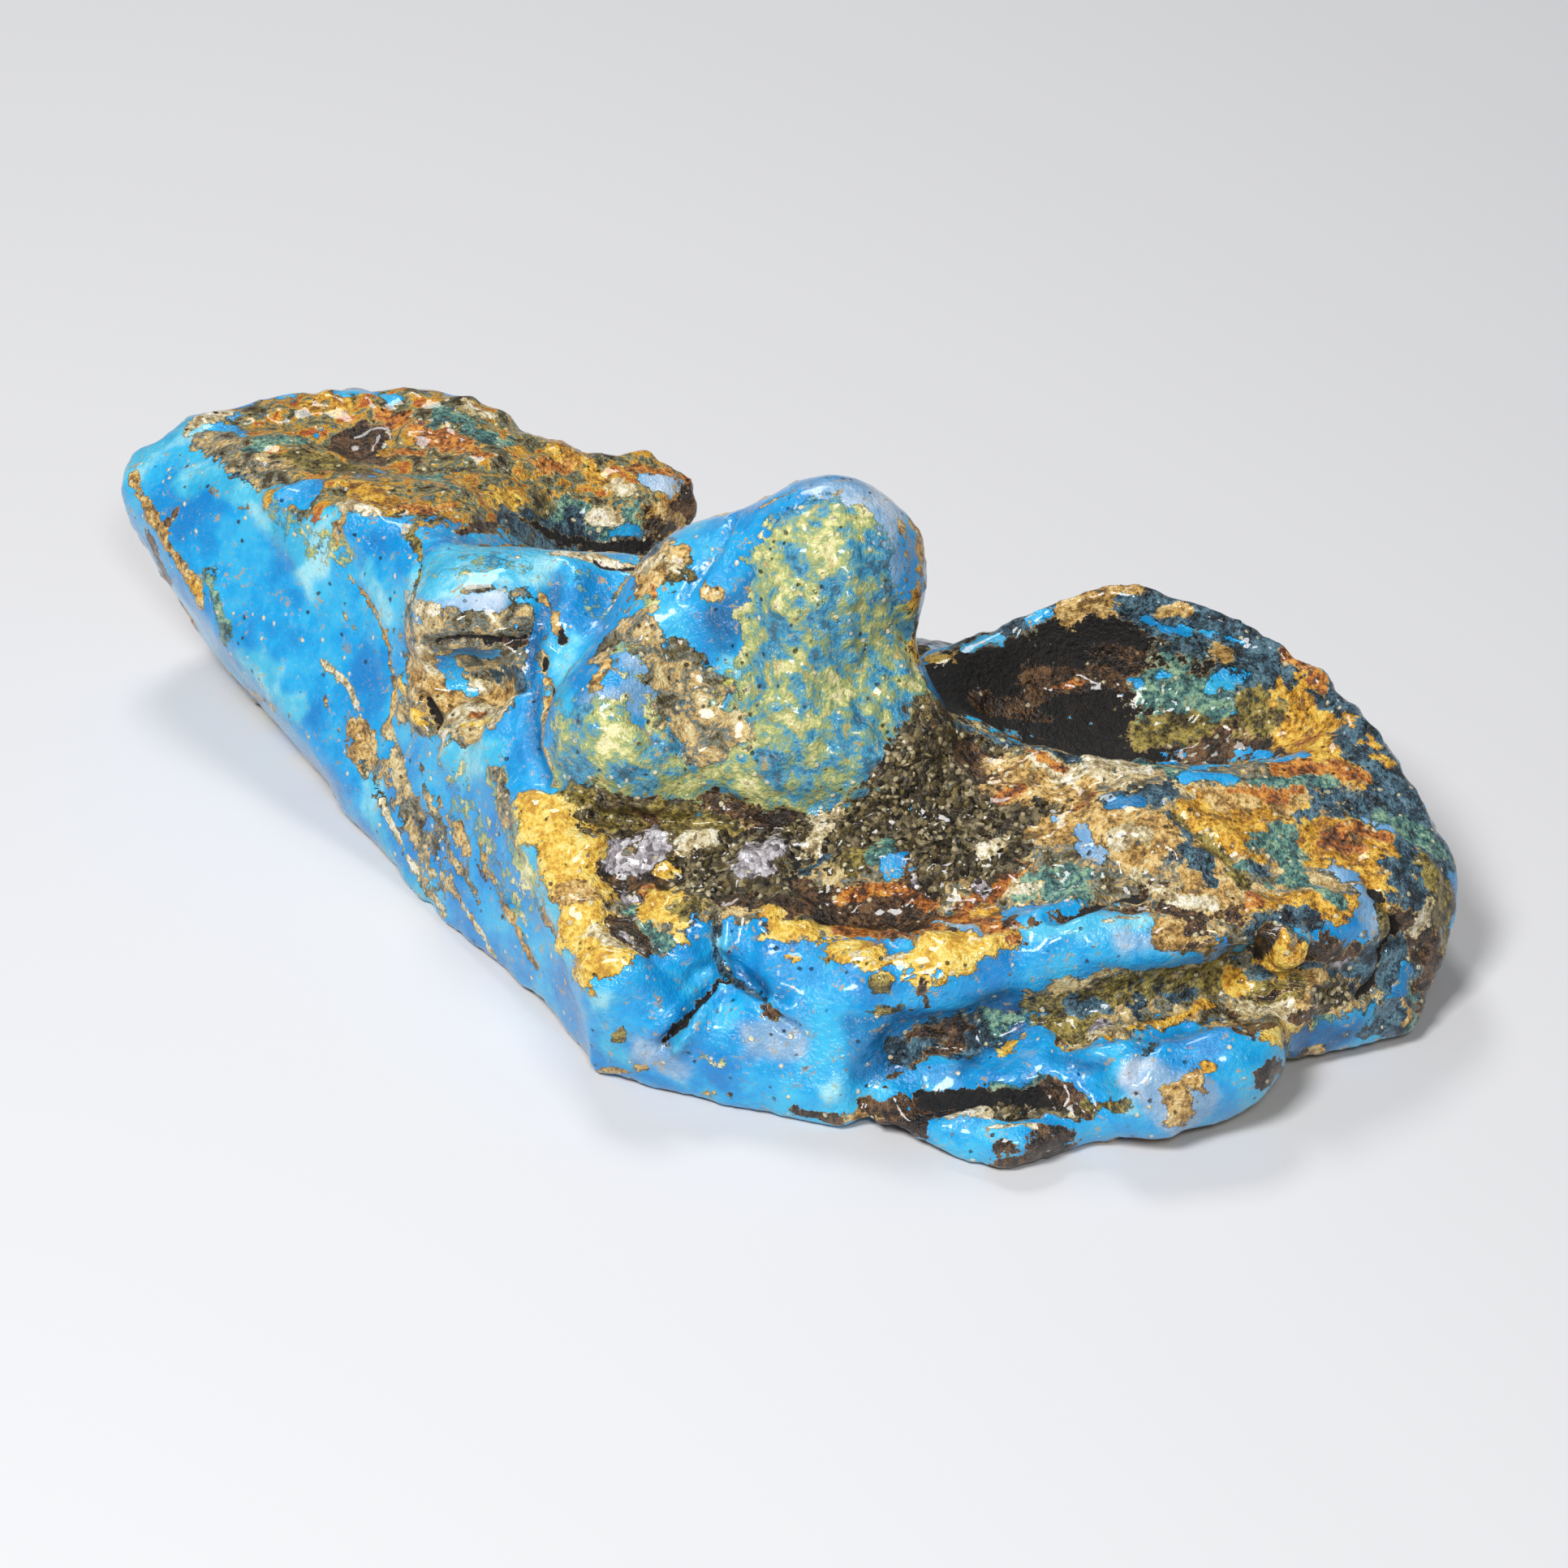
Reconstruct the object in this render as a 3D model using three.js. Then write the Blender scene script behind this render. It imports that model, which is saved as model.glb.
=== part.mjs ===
// A rough piece of blue amber, broken and never cut: one solid lump, about 85 mm long, that glows blue
// where its skin is bare and carries an ochre and brown crust where it lay against its host rock.
// Seen from the front it is a slab with a knob on it. A long wing runs back to the left, a broad shelf
// runs to the right, and behind the shelf lies a dark bowl with a raised rim. The back falls away between
// wing and bowl in the shallow shell-shaped scoops that amber breaks with.
// Units are millimetres: +X to the right, +Y to the back, +Z up. The origin is the middle of the bounding
// box's underside, on the surface that the lump rests on.

import * as THREE from 'three';
import { ConvexHull } from 'three/addons/math/ConvexHull.js';
import { ImprovedNoise } from 'three/addons/math/ImprovedNoise.js';

// The grid that the surface is drawn on: its box and the size of its cells, which grow towards the back.
const MESH_BOX = { low: [-47, -37, -3], high: [46, 36, 34] };
const CELL = { x: 1.6, frontY: 1.45, backY: 1.9, z: 1.5 };

// Corners of the convex blocks that the broken slab is made of, and how softly they run into each other.
const BLOCK_BLEND = 2;
const BLOCKS = {
  wing: [
    [-42.4, 22.2, 12.2], [-42.2, 22.6, 9.5], [-41.8, 25, 13.4], [-37.8, 26.8, 14.8], [-32.3, 28.7, 15],
    [-28.9, 29.9, 15.2], [-20.3, 29, 15.2], [-16.5, 26.8, 15], [-14, 24.5, 14],
    [-34.2, 19.4, 15], [-28.8, 15.2, 16.4], [-24, 9.2, 17.8], [-19.8, 5.5, 18.6], [-14, 9, 15],
    [-40.1, 22.4, 6], [-37.3, 19.1, 3], [-32.4, 14, 0], [-19.5, -8.5, 0], [-5, 8, 0],
    [-12, 22, 0], [-20, 28, 0], [-33, 26, 2], [-26, 32, 7], [-17, 30, 6],
  ],
  wingEnd: [
    [-16, 18, 13.6], [-10.1, 20, 12.9], [-6.5, 19.7, 12.3], [-4, 22, 11], [-4.2, 23.7, 11.6],
    [-6.8, 24.8, 13.2], [-11.6, 24.8, 13.8], [-14, 25, 14.2],
    [-14, 12, 0], [-6, 17, 0], [-5, 22, 3], [-8, 24, 3], [-16, 24, 1],
  ],
  neck: [
    [-25.6, 1.6, 0], [-19.5, -8.7, 0], [-9.2, -23.7, 0], [10, -24, 0], [12, 4, 1], [-6, 10, 1],
    [-22.6, 6, 17], [-19.8, 4.5, 18], [-17.4, -4.6, 11], [-12.6, -9.7, 10.2], [-11.4, -15.4, 7.6],
    [-9.5, -23, 6.2], [-9.2, -23.9, 2], [-15.5, 4.5, 18.4], [-6, 5, 17.2], [8, 3, 12.5], [9, -13, 12],
  ],
  brow: [
    [-9.2, -23.8, 0], [-3.3, -25.8, 0.4], [3.4, -28.7, 0.6], [4, -29.3, 1.6], [7.3, -27.6, 6],
    [5, -25.3, 7.8], [-9.4, -23.3, 6.2], [-2.4, -20.4, 8.2], [9, -24.8, 8.2], [16, -23.3, 9.8],
    [12, -12, 12.3], [0, -10, 11.6], [17, -20, 1], [9, -26.4, 0],
  ],
  foot: [
    [3, -28.4, 0], [8.1, -30.7, 0], [11.8, -32.4, 0], [14.2, -33.2, 0.3], [17, -31.8, 0],
    [19.2, -30.4, 0.4], [21.5, -27, 0.4], [8, -30.3, 2.6], [12.5, -32.3, 2.8], [16.3, -33, 2.9],
    [19.4, -31, 3], [20, -24, 4.2], [8, -22, 4.2],
  ],
  shelf: [
    [9, -25, 8], [16, -23.6, 10], [19.2, -23.3, 10.6], [27, -23.4, 10.2], [34.3, -19.6, 9.2],
    [40.6, -13, 9.2], [42.4, -14.2, 7.6], [42.4, -16, 6], [41.2, -18.6, 3.6], [39.2, -21.4, 1],
    [33.4, -23.2, 1], [25, -25, 1], [14, -23, 0], [10, 3, 12.2], [13.2, 3.4, 13.4],
    [18.2, 4, 15.6], [23.3, 4.3, 16.6], [27, 3, 16.2], [31.6, 0.7, 15.6], [34.9, -1.9, 14.5],
    [37, -5.8, 13], [39.6, -9.5, 11], [10, -9, 12.8], [16.9, -9.4, 12.8],
    [40.8, -6, 3], [37, 3.5, 1], [35.5, 3, 8], [27, 10, 0], [25, 8.4, 8], [10, 6, 0],
  ],
  backSlope: [
    [-10, 4, 13.5], [-2, 5, 13.6], [10, 4, 11.5], [16, 6, 9], [-13, 20, 8], [-6, 20, 5],
    [-10, 22, 0], [-2, 17.5, 0], [8, 14.5, 0], [20, 12, 0], [24, 10, 5], [-14, 0, 0], [20, 0, 0],
  ],
  lobe: [
    [17.8, -27.4, 4.6], [22.3, -26.4, 6.4], [26.6, -25.8, 6.6], [30.6, -27, 4.8], [31.8, -25, 2.6],
    [21.3, -30.3, 1.6], [24.1, -30.9, 1.6], [27.6, -29, 1.4], [20, -30, 3.4], [26, -29.6, 4],
    [20, -21, 1], [32, -21, 1.5], [31, -21, 6.5], [20, -21, 6.5],
  ],
};

// Rounded lumps that stand out: centre, radii and turn about Z in degrees.
const LUMP_BLEND = 2.5;
const LUMPS = [
  { name: 'knob core', centre: [-0.5, -5.2, 15.6], radii: [9.6, 8, 7.4], turn: 0 },
  { name: 'knob shoulder', centre: [-1, -3, 20], radii: [6.2, 5, 5.2], turn: 0 },
  { name: 'knob top', centre: [4.4, -4.4, 22.4], radii: [5.7, 5.2, 6.2], turn: 0 },
  { name: 'knob left cheek', centre: [-7.2, -9, 14.6], radii: [5.4, 5.2, 5.2], turn: 0 },
  { name: 'knob right cheek', centre: [6, -9.2, 14.8], radii: [5.2, 5, 4.6], turn: 0 },
  { name: 'ridge lump', centre: [-16.6, 1.6, 15.8], radii: [4.8, 4.4, 3.6], turn: 20 },
  { name: 'dome on the shelf', centre: [23.5, -15.8, 9.6], radii: [5.2, 4, 3.6], turn: -25 },
  { name: 'fold at the right end', centre: [34.6, -18.6, 7.4], radii: [2.8, 2.4, 2.2], turn: 0 },
  { name: 'lump at the right end', centre: [37.6, -15.6, 7.4], radii: [2.8, 2.8, 2.4], turn: 0 },
  { name: 'crust flake', centre: [30.6, -21.2, 7], radii: [2, 2.2, 2.4], turn: 0 },
  { name: 'small front lobe', centre: [15.4, -27.4, 4.2], radii: [3, 2.4, 2.2], turn: 0 },
  { name: 'left lower lobe', centre: [22, -28.2, 3.8], radii: [2.8, 2.4, 2.4], turn: 0 },
  { name: 'right lower lobe', centre: [27.4, -27.4, 3.8], radii: [3, 2.2, 2.6], turn: 0 },
  { name: 'nodule under the knob', centre: [8.2, -16.4, 10], radii: [2, 1.9, 1.9], turn: 0 },
];

// Long rounded ridges: the points that each runs through, and its radius.
const RIDGE_BLEND = 2;
const RIDGES = [
  {
    name: 'ridge to the knob', radius: 2,
    path: [[-16, 2.6, 16.6], [-11, 3, 16.6], [-5, 3.4, 16], [-1, 1, 18]],
  },
  {
    name: 'fold beside the knob', radius: 2,
    path: [[-11.4, 1.5, 16], [-12.6, -4, 13.4], [-12.6, -8.2, 10.4], [-11.8, -12, 8.4]],
  },
  {
    name: 'knob spine', radius: 3.2,
    path: [[3.2, -7.4, 21.5], [1.6, -10.4, 17], [1, -11, 14.6]],
  },
  {
    name: 'crust wedge', radius: 1.7,
    path: [[-10.8, -13, 9], [-10, -18, 7], [-8.8, -21.6, 5.6]],
  },
  {
    name: 'front rim', radius: 2.2,
    path: [[6, -24.4, 6.4], [11.5, -23.8, 7.2], [16.4, -22.8, 8.2], [22, -21.8, 8.6], [28, -21.6, 8.2]],
  },
];

// Hollows that are sunk in: centre, radii and turn about Z in degrees.
const HOLLOW_BLEND = 1.8;
const HOLLOWS = [
  { name: 'bowl', centre: [24, -3.6, 15.6], radii: [12.8, 6.4, 7.4], turn: -9 },
  { name: 'valley behind the ridge', centre: [-8.4, 13, 19.2], radii: [8, 6, 8.4], turn: 12 },
  { name: 'upper scoop in the back', centre: [7.2, 15, 15.5], radii: [8.4, 9, 9.5], turn: 0 },
  { name: 'lower scoop in the back', centre: [1, 22.5, 5], radii: [6.5, 5.5, 6], turn: 0 },
  { name: 'scoop behind the bowl', centre: [35, 12, 8], radii: [8, 6, 7], turn: 35 },
  { name: 'scoop behind the wing', centre: [-34, 35, 6], radii: [9, 6, 6], turn: -20 },
  { name: 'niche under the ridge lump', centre: [-17.8, -3.6, 13.2], radii: [3, 2.6, 2.2], turn: 0 },
  { name: 'facet left of the knob spine', centre: [-3.6, -13.2, 23], radii: [5, 5.2, 6.4], turn: 0 },
  { name: 'facet right of the knob spine', centre: [8.2, -13.2, 20.6], radii: [3, 3.2, 3.8], turn: 0 },
  { name: 'wing top', centre: [-25, 22.5, 18.4], radii: [10, 5.5, 3.6], turn: -35 },
  { name: 'under the knob', centre: [-0.5, -17.6, 12.4], radii: [9.6, 3, 2.8], turn: 0 },
  { name: 'dip at the crack', centre: [-2.6, -23.6, 7.2], radii: [3, 2.6, 2], turn: 0 },
];

// Channels that are cut in: the points that each runs through, and its radius.
const CHANNEL_BLEND = 1.6;
const CHANNELS = [
  {
    name: 'behind the front rim', radius: 1.6,
    path: [[4, -20.4, 10.2], [10.5, -20, 10.8], [16, -19.8, 11.4], [21, -19.6, 12]],
  },
  {
    name: 'under the front rim', radius: 2,
    path: [[9.6, -29, 5.2], [15, -27.6, 6], [22, -26.4, 6.9], [29, -24, 6.8]],
  },
  {
    name: 'above the lowest lip', radius: 1.7,
    path: [[9, -31.4, 4.4], [14, -31.4, 4.6], [19.5, -30.6, 4.2]],
  },
  {
    name: 'fold at the right end', radius: 1.5,
    path: [[29, -23.2, 7.2], [33.6, -23.6, 6.8], [38.6, -21, 6.6]],
  },
];

// Slow swells and smaller bumps that run over every surface: height and wavelength.
const SWELLS = [
  { height: 0.6, wavelength: 12 },
  { height: 0.25, wavelength: 5 },
];

// How the surface is drawn: how deep a filled grid point lies inside, the step for measuring a slope, how
// strongly a vertex is held to the middle of its cell's crossings, and the height below which it is set
// on the underside.
const FILL_DEPTH = 0.1;
const SLOPE_STEP = 0.05;
const MIDDLE_PULL = 0.15;
const UNDERSIDE_SNAP = 0.35;

const noise = new ImprovedNoise();
const segment = new THREE.Line3();
const closest = new THREE.Vector3();

// The smaller or larger of two distances, with the corner between them rounded over the blend.
function smoothMin(a, b, blend) {
  const h = Math.max(blend - Math.abs(a - b), 0) / blend;
  return Math.min(a, b) - h * h * blend / 4;
}
const smoothMax = (a, b, blend) => -smoothMin(-a, -b, blend);

// The outward planes of the convex block with these corners.
function blockPlanes(corners) {
  const hull = new ConvexHull().setFromPoints(corners.map((corner) => new THREE.Vector3(...corner)));
  return hull.faces.map(({ normal, constant }) => ({ normal: normal.clone(), constant }));
}

const blockPlaneSets = Object.values(BLOCKS).map(blockPlanes);
const blockDistance = (planes, point) =>
  Math.max(...planes.map(({ normal, constant }) => normal.dot(point) - constant));

// Signed distance, near enough, to an ellipsoid that is turned about Z.
function ellipsoidDistance({ centre, radii, turn }, point) {
  const angle = THREE.MathUtils.degToRad(-turn);
  const dx = point.x - centre[0];
  const dy = point.y - centre[1];
  const across = (dx * Math.cos(angle) - dy * Math.sin(angle)) / radii[0];
  const along = (dx * Math.sin(angle) + dy * Math.cos(angle)) / radii[1];
  const up = (point.z - centre[2]) / radii[2];
  const scaled = Math.hypot(across, along, up);
  if (scaled === 0) return -Math.min(...radii);
  const steepness = Math.hypot(across / radii[0], along / radii[1], up / radii[2]);
  return scaled * (scaled - 1) / steepness;
}

// Signed distance to a rounded bar that runs through the points of a path.
function barDistance({ path, radius }, point) {
  let nearest = Infinity;
  for (let i = 1; i < path.length; i++) {
    segment.start.set(...path[i - 1]);
    segment.end.set(...path[i]);
    segment.closestPointToPoint(point, true, closest);
    nearest = Math.min(nearest, closest.distanceTo(point));
  }
  return nearest - radius;
}

// Signed distance to the lump's surface, negative inside.
function amberDistance(point) {
  let distance = blockPlaneSets
    .map((planes) => blockDistance(planes, point))
    .reduce((a, b) => smoothMin(a, b, BLOCK_BLEND));
  for (const lump of LUMPS) {
    distance = smoothMin(distance, ellipsoidDistance(lump, point), LUMP_BLEND);
  }
  for (const ridge of RIDGES) {
    distance = smoothMin(distance, barDistance(ridge, point), RIDGE_BLEND);
  }
  for (const hollow of HOLLOWS) {
    distance = smoothMax(distance, -ellipsoidDistance(hollow, point), HOLLOW_BLEND);
  }
  for (const channel of CHANNELS) {
    distance = smoothMax(distance, -barDistance(channel, point), CHANNEL_BLEND);
  }
  for (const { height, wavelength } of SWELLS) {
    distance += height * noise.noise(point.x / wavelength, point.y / wavelength, point.z / wavelength);
  }
  return Math.max(distance, -point.z);
}

// Grid lines from low to high whose spacing grows evenly from first to last.
function gridLines(low, high, first, last) {
  const count = Math.ceil((high - low) / ((first + last) / 2));
  const lines = [];
  for (let i = 0; i <= count; i++) {
    const share = i / count;
    const grown = share * first + share * share * (last - first) / 2;
    lines.push(low + (high - low) * grown / ((first + last) / 2));
  }
  return lines;
}

// The corners of a grid cell, the twelve edges between them, and for each axis the four cells round an edge
// that leaves a node along it, as steps back from that node.
const CELL_CORNERS = [
  [0, 0, 0], [0, 0, 1], [0, 1, 0], [0, 1, 1], [1, 0, 0], [1, 0, 1], [1, 1, 0], [1, 1, 1],
];
const areNeighbours = (a, b) => Math.abs(a[0] - b[0]) + Math.abs(a[1] - b[1]) + Math.abs(a[2] - b[2]) === 1;
const CELL_EDGES = CELL_CORNERS.flatMap((a, index) =>
  CELL_CORNERS.slice(index + 1).filter((b) => areNeighbours(a, b)).map((b) => [a, b]));
const RINGS = [
  { step: [1, 0, 0], ring: [[0, 1, 1], [0, 0, 1], [0, 0, 0], [0, 1, 0]] },
  { step: [0, 1, 0], ring: [[1, 0, 1], [1, 0, 0], [0, 0, 0], [0, 0, 1]] },
  { step: [0, 0, 1], ring: [[1, 1, 0], [0, 1, 0], [0, 0, 0], [1, 0, 0]] },
];

// A closed mesh through the zero surface of a distance field: one vertex in each grid cell that the
// surface crosses, set on the edge or corner that runs through the cell, and one quad round each grid edge
// that it cuts.
function surfaceMesh(distanceAt, { low, high }) {
  const xs = gridLines(low[0], high[0], CELL.x, CELL.x);
  const ys = gridLines(low[1], high[1], CELL.frontY, CELL.backY);
  const zs = gridLines(low[2], high[2], CELL.z, CELL.z);
  const [nx, ny, nz] = [xs.length, ys.length, zs.length];
  const nodeOf = (i, j, k) => (i * ny + j) * nz + k;
  const eachNode = (from, to, visit) => {
    for (let i = from; i < nx - to; i++) {
      for (let j = from; j < ny - to; j++) {
        for (let k = from; k < nz - to; k++) visit(i, j, k);
      }
    }
  };

  const values = new Float64Array(nx * ny * nz);
  const node = new THREE.Vector3();
  eachNode(0, 0, (i, j, k) => {
    values[nodeOf(i, j, k)] = distanceAt(node.set(xs[i], ys[j], zs[k]));
  });
  fillPinchedCells(values, nodeOf, eachNode);

  const vertices = [];
  const vertexOf = new Map();
  eachNode(0, 1, (i, j, k) => {
    const crossings = [];
    for (const [a, b] of CELL_EDGES) {
      const nearValue = values[nodeOf(i + a[0], j + a[1], k + a[2])];
      const farValue = values[nodeOf(i + b[0], j + b[1], k + b[2])];
      if ((nearValue < 0) === (farValue < 0)) continue;
      const near = new THREE.Vector3(xs[i + a[0]], ys[j + a[1]], zs[k + a[2]]);
      const far = new THREE.Vector3(xs[i + b[0]], ys[j + b[1]], zs[k + b[2]]);
      crossings.push(near.lerp(far, nearValue / (nearValue - farValue)));
    }
    if (crossings.length === 0) return;
    const cell = new THREE.Box3(
      new THREE.Vector3(xs[i], ys[j], zs[k]),
      new THREE.Vector3(xs[i + 1], ys[j + 1], zs[k + 1]),
    );
    vertexOf.set(nodeOf(i, j, k), vertices.length);
    vertices.push(sharpestPoint(crossings, distanceAt, cell));
  });

  const quads = [];
  eachNode(1, 1, (i, j, k) => {
    const inside = values[nodeOf(i, j, k)] < 0;
    for (const { step, ring } of RINGS) {
      const beyondInside = values[nodeOf(i + step[0], j + step[1], k + step[2])] < 0;
      if (inside === beyondInside) continue;
      const quad = ring.map((back) => vertexOf.get(nodeOf(i - back[0], j - back[1], k - back[2])));
      quads.push(inside ? quad : quad.reverse());
    }
  });

  const coordinates = vertices.flatMap((vertex) => vertex.toArray());
  const geometry = new THREE.BufferGeometry();
  geometry.setAttribute('position', new THREE.Float32BufferAttribute(coordinates, 3));
  geometry.setIndex(quads.flatMap((quad) => splitQuad(quad, vertices)));
  return geometry;
}

// Whether the chosen corners of a cell all hang together along its edges.
function hangTogether(corners) {
  const reached = corners.slice(0, 1);
  for (const corner of reached) {
    for (const other of corners) {
      if (!reached.includes(other) && areNeighbours(corner, other)) reached.push(other);
    }
  }
  return reached.length === corners.length;
}

// Fills in grid points until the surface passes through every cell as one sheet, so that the mesh never
// pinches.
function fillPinchedCells(values, nodeOf, eachNode) {
  let filled = 1;
  while (filled > 0) {
    filled = 0;
    eachNode(0, 1, (i, j, k) => {
      const valueAt = (corner) => values[nodeOf(i + corner[0], j + corner[1], k + corner[2])];
      const inside = CELL_CORNERS.filter((corner) => valueAt(corner) < 0);
      const outside = CELL_CORNERS.filter((corner) => valueAt(corner) >= 0);
      if (hangTogether(inside) && hangTogether(outside)) return;
      const [nearest] = outside.sort((a, b) => valueAt(a) - valueAt(b));
      values[nodeOf(i + nearest[0], j + nearest[1], k + nearest[2])] = -FILL_DEPTH;
      filled++;
    });
  }
}

// The point that lies nearest to the tangent planes at all of a cell's crossings, held towards their
// middle and inside the cell. A point just above the underside is set on it.
function sharpestPoint(crossings, distanceAt, cell) {
  const middle = new THREE.Vector3();
  for (const crossing of crossings) middle.addScaledVector(crossing, 1 / crossings.length);
  const system = new THREE.Matrix3().multiplyScalar(MIDDLE_PULL);
  const target = new THREE.Vector3();
  for (const crossing of crossings) {
    const normal = slopeAt(distanceAt, crossing).normalize();
    target.addScaledVector(normal, normal.dot(crossing.clone().sub(middle)));
    const parts = normal.toArray();
    parts.forEach((a, row) => parts.forEach((b, column) => {
      system.elements[3 * row + column] += a * b;
    }));
  }
  const point = target.applyMatrix3(system.invert()).add(middle);
  cell.clampPoint(point, point);
  if (point.z < UNDERSIDE_SNAP) point.z = 0;
  return point;
}

// The slope of the distance field at a point.
function slopeAt(distanceAt, point) {
  const here = distanceAt(point);
  return new THREE.Vector3(
    distanceAt(point.clone().setX(point.x + SLOPE_STEP)) - here,
    distanceAt(point.clone().setY(point.y + SLOPE_STEP)) - here,
    distanceAt(point.clone().setZ(point.z + SLOPE_STEP)) - here,
  ).divideScalar(SLOPE_STEP);
}

// A quad as two triangles that share its shorter diagonal.
function splitQuad([a, b, c, d], vertices) {
  const acrossFirst = vertices[a].distanceTo(vertices[c]);
  const acrossSecond = vertices[b].distanceTo(vertices[d]);
  return acrossFirst < acrossSecond ? [a, b, c, a, c, d] : [a, b, d, b, c, d];
}

// The lump, moved so that the middle of its box stands over the origin, in its glossy blue.
const amberShape = surfaceMesh(amberDistance, MESH_BOX);
amberShape.computeBoundingBox();
const boxMiddle = amberShape.boundingBox.getCenter(new THREE.Vector3());
amberShape.translate(-boxMiddle.x, -boxMiddle.y, 0);

const amberFinish = new THREE.MeshStandardMaterial({ color: 0x2a93cf, roughness: 0.25, metalness: 0 });
const amber = new THREE.Mesh(amberShape, amberFinish);
amber.name = 'amber';

const part = new THREE.Group();
part.add(amber);

export default part;
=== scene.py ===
import math

import bmesh
import bpy
import numpy as np
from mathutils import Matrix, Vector, noise
from mathutils.bvhtree import BVHTree


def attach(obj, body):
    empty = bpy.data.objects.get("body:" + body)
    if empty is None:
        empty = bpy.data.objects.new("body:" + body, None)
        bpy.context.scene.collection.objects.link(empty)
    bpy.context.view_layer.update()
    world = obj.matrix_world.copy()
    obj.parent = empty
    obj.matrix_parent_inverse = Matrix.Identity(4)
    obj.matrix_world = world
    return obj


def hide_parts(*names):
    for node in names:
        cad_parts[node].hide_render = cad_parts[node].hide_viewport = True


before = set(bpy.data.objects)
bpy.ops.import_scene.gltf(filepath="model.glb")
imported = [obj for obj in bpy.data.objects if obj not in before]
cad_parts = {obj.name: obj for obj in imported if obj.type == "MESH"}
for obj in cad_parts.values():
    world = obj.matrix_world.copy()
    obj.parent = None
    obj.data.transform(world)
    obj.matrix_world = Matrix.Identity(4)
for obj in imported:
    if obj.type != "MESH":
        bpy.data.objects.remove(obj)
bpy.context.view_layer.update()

# The camera
# The lump is looked at from in front and above with a long lens, as in the photograph.
# The marks on the lump are placed through the same lens, so the camera comes first.
MM = 0.001
PHOTO_WIDTH = 1932  # pixels
LENS = 110  # mm, as the sensor is
SENSOR = 36
CAMERA_TILT = math.radians(36)
CAMERA_DISTANCE = 288 * MM
CAMERA_AIM = Vector((1.665, -10.085, 12.0)) * MM
NEAREST_SEEN = 0.01
FARTHEST_SEEN = 20

towards_camera = Vector((0, -math.cos(CAMERA_TILT), math.sin(CAMERA_TILT)))
camera_place = CAMERA_AIM + towards_camera * CAMERA_DISTANCE
camera_turn = (-towards_camera).to_track_quat("-Z", "Y")


def in_scene(name, data):
    """A new object of the scene."""
    made = bpy.data.objects.new(name, data)
    bpy.context.scene.collection.objects.link(made)
    return made


lens_data = bpy.data.cameras.new("camera")
lens_data.lens = LENS
lens_data.sensor_width = SENSOR
lens_data.clip_start = NEAREST_SEEN
lens_data.clip_end = FARTHEST_SEEN
camera = in_scene("camera", lens_data)
camera.location = camera_place
camera.rotation_mode = "QUATERNION"
camera.rotation_quaternion = camera_turn
bpy.context.scene.camera = camera


def sight_line(across, down):
    """The direction from the camera through a pixel of the photograph."""
    pixel = SENSOR / PHOTO_WIDTH
    half = PHOTO_WIDTH / 2
    ray = Vector(((across - half) * pixel, (half - down) * pixel, -LENS))
    return (camera_turn @ ray).normalized()


# The lump
# One piece of hardened tree resin, opaque and glossy, with a knob, a wing and a shelf grown
# together. Its skin is finer than the solid's facets, so they are rounded off and meshed anew.
SKIN_MESH = 0.325 * MM
MERGE_GAP = 0.001 * MM
EASE = 0.5  # of the way to its neighbours that a point moves in a pass
ROUNDING_PASSES = 2
FLAT_HEIGHT = 0.02 * MM  # below it a point is on the flat underside
UNDERSIDE_SHARE = 0.8  # of all the faces, left once the flat underside is thinned


def mesh_of(shape):
    """The plain mesh that a shape's modifiers make of it. The shape itself is removed."""
    made = bpy.data.meshes.new_from_object(shape.evaluated_get(bpy.context.evaluated_depsgraph_get()))
    bpy.data.objects.remove(shape)
    return made


rough_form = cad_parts["amber"].data.copy()
joined = bmesh.new()
joined.from_mesh(rough_form)
bmesh.ops.remove_doubles(joined, verts=joined.verts, dist=MERGE_GAP)
joined.to_mesh(rough_form)
joined.free()
rough_lump = in_scene("rough_lump", rough_form)
rounding = rough_lump.modifiers.new("rounding", "SUBSURF")
rounding.levels = 1
rounding.render_levels = 1
meshing = rough_lump.modifiers.new("meshing", "REMESH")
meshing.mode = "VOXEL"
meshing.voxel_size = SKIN_MESH
easing = rough_lump.modifiers.new("easing", "SMOOTH")
easing.factor = EASE
easing.iterations = ROUNDING_PASSES
lump_mesh = mesh_of(rough_lump)
full_lump = in_scene("full_lump", lump_mesh)
flat = full_lump.vertex_groups.new(name="flat")
flat.add([v.index for v in lump_mesh.vertices if v.co.z < FLAT_HEIGHT], 1.0, "ADD")
thinning = full_lump.modifiers.new("thinning", "DECIMATE")
thinning.ratio = UNDERSIDE_SHARE
thinning.vertex_group = "flat"
lump_mesh = mesh_of(full_lump)
lump_mesh.name = "amber_lump"
lump = in_scene("amber_lump", lump_mesh)

count = len(lump_mesh.vertices)
places = np.empty(count * 3)
lump_mesh.vertices.foreach_get("co", places)
places = places.reshape(count, 3) / MM
outwards = np.empty(count * 3)
lump_mesh.vertices.foreach_get("normal", outwards)
outwards = outwards.reshape(count, 3)
links = np.empty(len(lump_mesh.edges) * 2, dtype=np.int32)
lump_mesh.edges.foreach_get("vertices", links)
links = links.reshape(-1, 2)
surface = BVHTree.FromPolygons(
    [tuple(p) for p in places.tolist()], [tuple(f.vertices) for f in lump_mesh.polygons])
place_vectors = [Vector(p) for p in places.tolist()]
eye = camera_place / MM


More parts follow.
